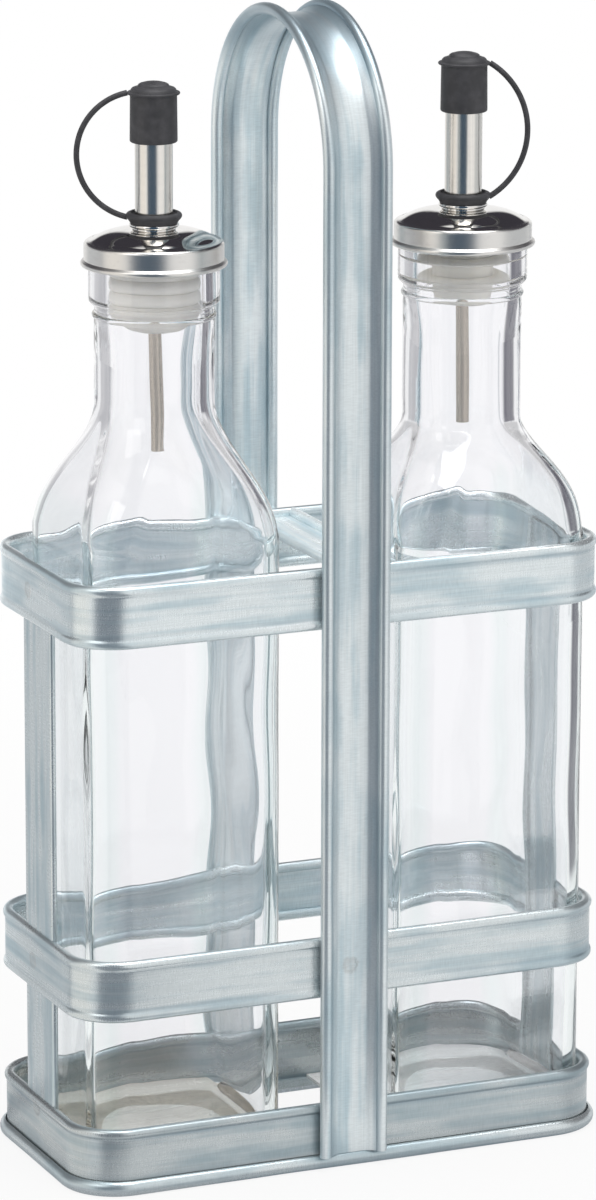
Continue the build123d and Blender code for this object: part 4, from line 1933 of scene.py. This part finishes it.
@dataclass
class RubberCap(Assembly):
    """Rubber moulding: ring round the spout, bowed strap and the cap on the spout's end.

    The strap's turn is in degrees round the spout, and its reach is how far it bows out. The
    dome is given as corners of (radius, rise above the lip).
    """

    station: Station
    cap_foot: float
    strap_turn: float
    strap_reach: float
    spout_radius: float = 4.25
    play: float = 0.08
    steps_round: int = 96
    ring_foot: float = 217.0
    ring_base: float = 5.0
    ring_radius: float = 6.3
    ring_height: float = 2.5
    ring_round: float = 0.75
    ring_fillet: float = 0.5
    ring_lip: float = 0.1
    dish_round: float = 0.3
    dish_depth: float = 1.25
    dish_bevel: Flat = (0.35, 0.1)
    cap_radius: float = 5.35
    cap_round: float = 0.45
    cap_draft: float = 0.1
    cap_body: float = 10.7
    bore_depth: float = 6.1
    lip_radius: float = 5.95
    lip_height: float = 0.6
    lip_bend: float = 0.25
    dome: tuple[Flat, ...] = (
        (5.25, 0.06), (5.05, 0.55), (4.75, 0.85), (3.75, 1.2), (3.55, 1.26), (3.4, 1.62),
        (3.0, 1.86), (2.0, 2.14), (1.0, 2.3), (0, 2.37))
    strap_radius: float = 0.65
    strap_sides: int = 24
    strap_step: float = 0.5
    strap_roots: Flat = (0.4, 0.1)

    @property
    def bore(self) -> float:
        """Radius of the holes that pass the spout."""
        return self.spout_radius + self.play

    def ring(self) -> bpy.types.Mesh:
        """Ring with a dished top.

        Returns:
            The mesh.
        """
        bore, base = self.bore, self.ring_foot
        top = base + self.ring_height
        fillet, bend, dish = self.ring_fillet, self.ring_round, self.dish_round
        low = top - self.dish_depth
        bevel, bevel_rise = self.dish_bevel
        crest = self.ring_radius - bend
        outline = Outline((bore, base), (self.ring_base, base))
        outline.arc((self.ring_base, base + fillet), fillet, -60, -10, 4)
        outline.arc((crest, top - bend - self.ring_lip), bend, -40, 90, 10)
        outline.arc((crest - self.ring_lip, top - dish), dish, 90, 200, 5)
        outline.to((bore + bevel, low + bevel_rise), (bore, low))
        name = self.station.called("ring")
        return lathe(name, outline.tidy(), self.station.axis, self.steps_round)

    def cap(self) -> bpy.types.Mesh:
        """Cap with a tapered body, a thin lip and a dome in two steps.

        Returns:
            The mesh.
        """
        foot = self.cap_foot
        lip = foot + self.cap_body
        side = self.cap_radius - self.cap_draft
        roof = foot + self.bore_depth
        fillet, bend, half = self.cap_round, self.lip_bend, self.lip_height / 2
        outline = Outline((0, roof), (self.bore, roof), (self.bore, foot))
        outline.arc((self.cap_radius - fillet, foot + fillet), fillet, -90, 0, 5)
        outline.to((side, lip - 2 * bend))
        outline.arc((side + bend, lip - bend), bend, 180, 90, 3)
        outline.arc((self.lip_radius - half, lip + half), half, -90, 90, 8)
        outline.to(*((radius, lip + self.lip_height + rise) for radius, rise in self.dome))
        name = self.station.called("cap")
        return lathe(name, outline.tidy(), self.station.axis, self.steps_round)

    def strap(self, finish: Finish) -> bpy.types.Mesh:
        """Round strap bowed from the ring up to the cap's lip.

        Args:
            finish: Its finish.

        Returns:
            The mesh.
        """
        low_root, high_root = self.strap_roots
        start = (self.ring_radius - low_root, self.ring_foot + self.ring_height / 2)
        end = (
            self.lip_radius - high_root, self.cap_foot + self.cap_body + self.lip_height / 2)
        bow = three_point_arc(start, (self.strap_reach, (start[1] + end[1]) / 2), end)
        turn = radians(self.strap_turn)
        x, y = self.station.axis
        path = [(x + reach * cos(turn), y + reach * sin(turn), height) for reach, height in bow]
        last = self.strap_sides - 1
        round_end = FULL_TURN * last / self.strap_sides
        section = Outline().arc((0, 0), self.strap_radius, 0, round_end, last).tidy()
        sweep = Sweep(section, path, corner_steps=1, step=self.strap_step)
        return sweep.mesh(self.station.called("strap"), finish)

    def dress(self) -> list[Piece]:
        """Make every piece of the rubber moulding.

        Returns:
            The pieces.
        """
        called = self.station.called
        rubber = MattRubber("moulded_black_rubber", Slot.RUBBER)
        tether, cap = called("tether"), called("cap")
        strap = linked(f"{tether}_strap_round", self.strap(rubber))
        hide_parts(called("tether_strap"))
        low = self.station.spot(self.ring_foot + self.ring_height)
        high = self.station.spot(self.cap_foot + self.cap_body)
        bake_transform(strap)
        ring = self.fit(
            f"{tether}_ring_dished", self.ring(), rubber, tether, [called("tether_ring")])
        stepped = self.fit(f"{cap}_stepped", self.cap(), rubber, cap, [called("dust_cap")])
        return [ring, stepped, Piece(strap, rubber)]


# ---------------------------------------------------------------------------
# Studio
# ---------------------------------------------------------------------------
class Tone(Enum):
    """Colours of the studio's room."""

    WHITE = (1.0, 1.0, 1.0, 1)
    WARM = (1.0, 0.965, 0.915, 1)
    GREY = (0.62, 0.64, 0.66, 1)
    CARD = (0.060, 0.098, 0.145, 1)
    FLAG = (0.10, 0.095, 0.125, 1)
    CEILING = (0.048, 0.045, 0.056, 1)


@dataclass(frozen=True)
class Panel:
    """An upright panel of the room, between two directions in degrees from the camera's side."""

    start: float
    end: float
    soft: float
    tone: Tone
    share: float = 1.0

    def cover(self, graph: Graph, turn: Wire) -> Wire:
        """How far the panel covers the room in a direction."""
        return graph.window(turn, self.start, self.end, self.soft) * self.share


@dataclass(frozen=True)
class Lamp:
    """A square soft lamp: its place and side in metres and its power in watts."""

    name: str
    place: Point
    side: float
    power: float
    colour: Point

    def hang(self, aim: Point) -> None:
        """Hang the lamp so that it faces a point.

        Args:
            aim: The point, in metres.
        """
        data = bpy.data.lights.new(self.name, "AREA")
        data.shape = "SQUARE"
        data.size = self.side
        data.energy = self.power
        data.color = self.colour
        item = linked(self.name, data)
        item.location = self.place
        towards = Vector(aim) - Vector(self.place)
        item.rotation_euler = towards.to_track_quat("-Z", "Y").to_euler()


@dataclass
class Studio:
    """Plain studio: white floor, pale surroundings with soft panels, two lamps and the camera.

    Floor distances are in millimetres from the object's middle and rises are in degrees. The
    flags are what glass shows at its edges, where one wall alone is crossed.
    """

    azimuth: float = -23.387
    elevation: float = 13.872
    roll: float = 0.1436
    distance: float = 1.34143
    aim: Point = (-0.0002, 0.0001, 0.12666)
    lens: float = 175.604
    sensor: float = 36.0
    clip: Flat = (0.01, 20.0)
    floor_radius: float = 520.0
    floor_rings: int = 10
    floor_steps: int = 96
    floor_fade: Flat = (200.0, 499.2)
    floor_glow: float = 0.88
    floor_colour: Colour = (0.62, 0.62, 0.62, 1)
    floor_mirror: Flat = (62.0, 98.0)
    floor_flags: Flat = (220.0, 300.0)
    footprint: Flat = (133.0, 67.3)
    contact_shadow_reach: float = 12.0
    contact_shadow_share: float = 0.6
    ambient: float = 0.86
    through_share: float = 0.6
    ceiling_foot: float = 14.0
    ceiling_top: float = 65.0
    ceiling_soft: float = 3.0
    ceiling_turn: Flat = (60.0, 110.0)
    flag_top: Flat = (5.0, 15.0)
    one_wall: Flat = (3.2, 3.8)
    panels: tuple[Panel, ...] = (
        Panel(-38.0, 21.0, 4.0, Tone.CARD),
        Panel(-98.0, -91.0, 1.5, Tone.CARD),
        Panel(-88.0, -48.0, 3.0, Tone.WARM),
        Panel(72.0, 138.0, 5.0, Tone.GREY),
        Panel(-140.0, -100.0, 5.0, Tone.GREY),
        Panel(147.0, 153.0, 1.5, Tone.CARD),
    )
    flags: tuple[Panel, ...] = (
        Panel(56.0, 80.0, 3.0, Tone.FLAG, 0.85),
        Panel(-49.0, -37.0, 2.0, Tone.FLAG, 0.6),
        Panel(118.0, 166.0, 7.0, Tone.FLAG, 0.90),
        Panel(-160.0, -122.0, 7.0, Tone.FLAG, 0.48),
    )
    lamps: tuple[Lamp, ...] = (
        Lamp("left_softbox", (-0.9, -0.5, 1.0), side=0.6, power=2.0, colour=(1.0, 0.97, 0.93)),
        Lamp("overhead_softbox", (0.1, -0.15, 1.3), side=0.8, power=9.0, colour=(1.0, 1.0, 1.0)),
    )
    bounces: int = 48
    glossy_bounces: int = 32
    glass_bounces: int = 40

    def floor(self) -> None:
        """Lay a white floor that fades into the background at its edge."""
        parts = np.linspace(0, 1, self.floor_rings + 1)
        rings = [
            circle((0.0, 0.0), self.floor_radius * part, 0.0, self.floor_steps) for part in parts]
        mesh = rings_mesh("studio_floor", rings, closed=False)
        if mesh.polygons[0].normal.z < 0:
            mesh.flip_normals()
        item = linked("studio_floor", mesh)
        made = bpy.data.materials.new("studio_floor_white")
        self.paint_floor(fresh_graph(made))
        mesh.materials.append(made)

    def paint_floor(self, graph: Graph) -> None:
        """Write the floor's nodes: a pale shadow, a painted contact shadow for gloss, and the room
        mirrored beyond the object.

        Args:
            graph: The floor's nodes.
        """
        place = graph.place()
        x, y, _ = graph.axes(place)
        reach = graph.distance(place, (0, 0, 0))
        turn, tone = self.room(graph, x, y)
        through = graph.ray(Ray.THROUGH)
        mirrored = graph.ray(Ray.MIRRORED) * (1 - through)
        polish = graph.ramp(reach, *self.floor_mirror) * mirrored
        shine = graph.blend(polish, Tone.WHITE.value, tone)
        beside = graph.largest(
            # Painted contact shadow: gloss sees the floor darker close round the object's foot.
            abs(x) - self.footprint[0] / 2, abs(y) - self.footprint[1] / 2)
        painted_contact_shadow = (1 - graph.ramp(beside, 0.0, self.contact_shadow_reach)) * mirrored
        shine = graph.blend(painted_contact_shadow * self.contact_shadow_share, shine, Tone.CARD.value)
        far = graph.ramp(reach, *self.floor_flags) * through
        shine = graph.blend(self.edge_flags(graph, turn) * far, shine, Tone.FLAG.value)
        diffuse = graph.node("ShaderNodeBsdfDiffuse", None, {"Color": self.floor_colour})
        glow = graph.node("ShaderNodeEmission", None, {"Color": shine, "Strength": 1.0})
        seen = graph.largest(graph.ray(Ray.CAMERA), graph.ray(Ray.MIRRORED), through)
        fade = graph.ramp(reach, *self.floor_fade)
        share = seen * (self.floor_glow + fade * (1 - self.floor_glow))
        graph.surface(graph.node("ShaderNodeMixShader", None, {0: share, 1: diffuse, 2: glow}))

    def room(self, graph: Graph, x: Wire, y: Wire) -> tuple[Wire, Wire]:
        """Panels and cards that gloss shows round the object.

        Args:
            graph: The tree.
            x: X of the direction or place.
            y: Its Y.

        Returns:
            The direction in degrees from the camera's side, and the tone there.
        """
        turned = graph.math("ARCTAN2", x, y * -1.0) * degrees(1) - self.azimuth
        turn = graph.math("WRAP", turned, FULL_TURN / 2, -FULL_TURN / 2)
        tone = Tone.WHITE.value
        for panel in self.panels:
            tone = graph.blend(panel.cover(graph, turn), tone, panel.tone.value)
        return turn, tone

    def edge_flags(self, graph: Graph, turn: Wire) -> Wire:
        """Share of the dark flags that glass shows at its edges.

        Args:
            graph: The tree.
            turn: Direction in degrees from the camera's side.

        Returns:
            The share, 0 for rays that have crossed both walls of a bottle.
        """
        share = 0.0
        for flag in self.flags:
            share = flag.cover(graph, turn) + share
        return share * (1 - graph.ramp(graph.ray(Ray.WALLS_CROSSED), *self.one_wall))

    def surroundings(self) -> None:
        """Plain pale room: white to the camera, with panels and cards that only gloss shows."""
        world = bpy.data.worlds.new("studio_room")
        bpy.context.scene.world = world
        graph = fresh_graph(world)
        x, y, z = graph.axes(graph.node("ShaderNodeTexCoord", None, None, "Generated"))
        turn, tone = self.room(graph, x, y)
        rise = graph.math("ARCSINE", z) * degrees(1)
        overhead = graph.window(rise, self.ceiling_foot, self.ceiling_top, self.ceiling_soft)
        behind = graph.ramp(abs(turn), *self.ceiling_turn)
        tone = graph.blend(overhead * behind, tone, Tone.CEILING.value)
        beyond = graph.blend(self.through_share, tone, Tone.WHITE.value)
        low = 1 - graph.ramp(rise, *self.flag_top)
        flagged = self.edge_flags(graph, turn) * low
        beyond = graph.blend(flagged, beyond, Tone.FLAG.value)
        level = (self.ambient, self.ambient, self.ambient, 1)
        tone = graph.blend(graph.ray(Ray.MIRRORED), level, tone)
        tone = graph.blend(graph.ray(Ray.THROUGH), tone, beyond)
        tone = graph.blend(graph.ray(Ray.CAMERA), tone, Tone.WHITE.value)
        background = graph.node("ShaderNodeBackground", None, {"Color": tone, "Strength": 1.0})
        graph.surface(background, "ShaderNodeOutputWorld")

    def camera(self) -> None:
        """Set up the camera."""
        turn = radians(self.azimuth)
        lift = radians(self.elevation)
        back = Vector((sin(turn) * cos(lift), -cos(turn) * cos(lift), sin(lift)))
        right = Vector((cos(turn), sin(turn), 0.0))
        up = back.cross(right)
        lean = radians(self.roll)
        rolled_right = right * cos(lean) + up * sin(lean)
        rolled_up = back.cross(rolled_right)
        data = bpy.data.cameras.new("studio_camera")
        data.sensor_width = self.sensor
        data.lens = self.lens
        data.clip_start, data.clip_end = self.clip
        item = linked("studio_camera", data)
        turned = Matrix((rolled_right, rolled_up, back)).transposed().to_4x4()
        item.matrix_world = Matrix.Translation(Vector(self.aim) + back * self.distance) @ turned
        bpy.context.scene.camera = item

    def set_up(self) -> None:
        """Build the whole studio and let light through many walls of glass."""
        self.camera()
        self.surroundings()
        self.floor()
        for lamp in self.lamps:
            lamp.hang(self.aim)
        paths = bpy.context.scene.cycles
        paths.max_bounces = self.bounces
        paths.glossy_bounces = self.glossy_bounces
        paths.transmission_bounces = self.glass_bounces
        bpy.context.scene.view_settings.view_transform = "Standard"


def main() -> None:
    """Build the studio and the sub-assemblies in order, and report each piece."""
    logging.basicConfig(level=logging.INFO, format="%(name)s %(message)s")
    Studio().set_up()
    left = Station(Side.LEFT, -35.9, -1.0)
    right = Station(Side.RIGHT, 38.9, -3.5)
    hollow_foot = (
        (3.4, 192.3), (4.9, 192.5), (6.9, 193.2), (8.6, 194.4), (9.7, 195.9), (10.2, 197.3))
    plain_foot = ((2.4, 193.6), (5.7, 193.8), (6.25, 194.2), (6.35, 194.8))
    thick_fins = RibStack(4, foot=198.2, pitch=2.9, inner=5.9, outer=10.5, height=3.9)
    thin_fins = RibStack(2, foot=200.3, pitch=4.25, inner=5.9, outer=10.95, height=1.5)
    assemblies: list[Assembly] = [
        Carrier(),
        Bottle(left, shoulder_foot=147.0, seed=0.4),
        Bottle(
            right, shoulder_foot=141.5, seed=2.9, shoulder_height=26.5, shoulder_fullness=1.45),
        Pourer(left, tube_lean=0.035, fins=thick_fins, foot_form=hollow_foot),
        Pourer(
            right, tube_lean=0.012, fins=thin_fins, foot_form=plain_foot, stopper_core=7.0,
            tube_foot=166.4),
        RubberCap(left, cap_foot=235.2, strap_turn=157.0, strap_reach=17.2),
        RubberCap(right, cap_foot=237.9, strap_turn=-23.0, strap_reach=14.5),
    ]
    for assembly in assemblies:
        for piece in assembly.dress():
            LOG.info("%s: %s in %s", type(assembly).__name__, piece.item.name, piece.finish.name)


if __name__ == "__main__":
    main()
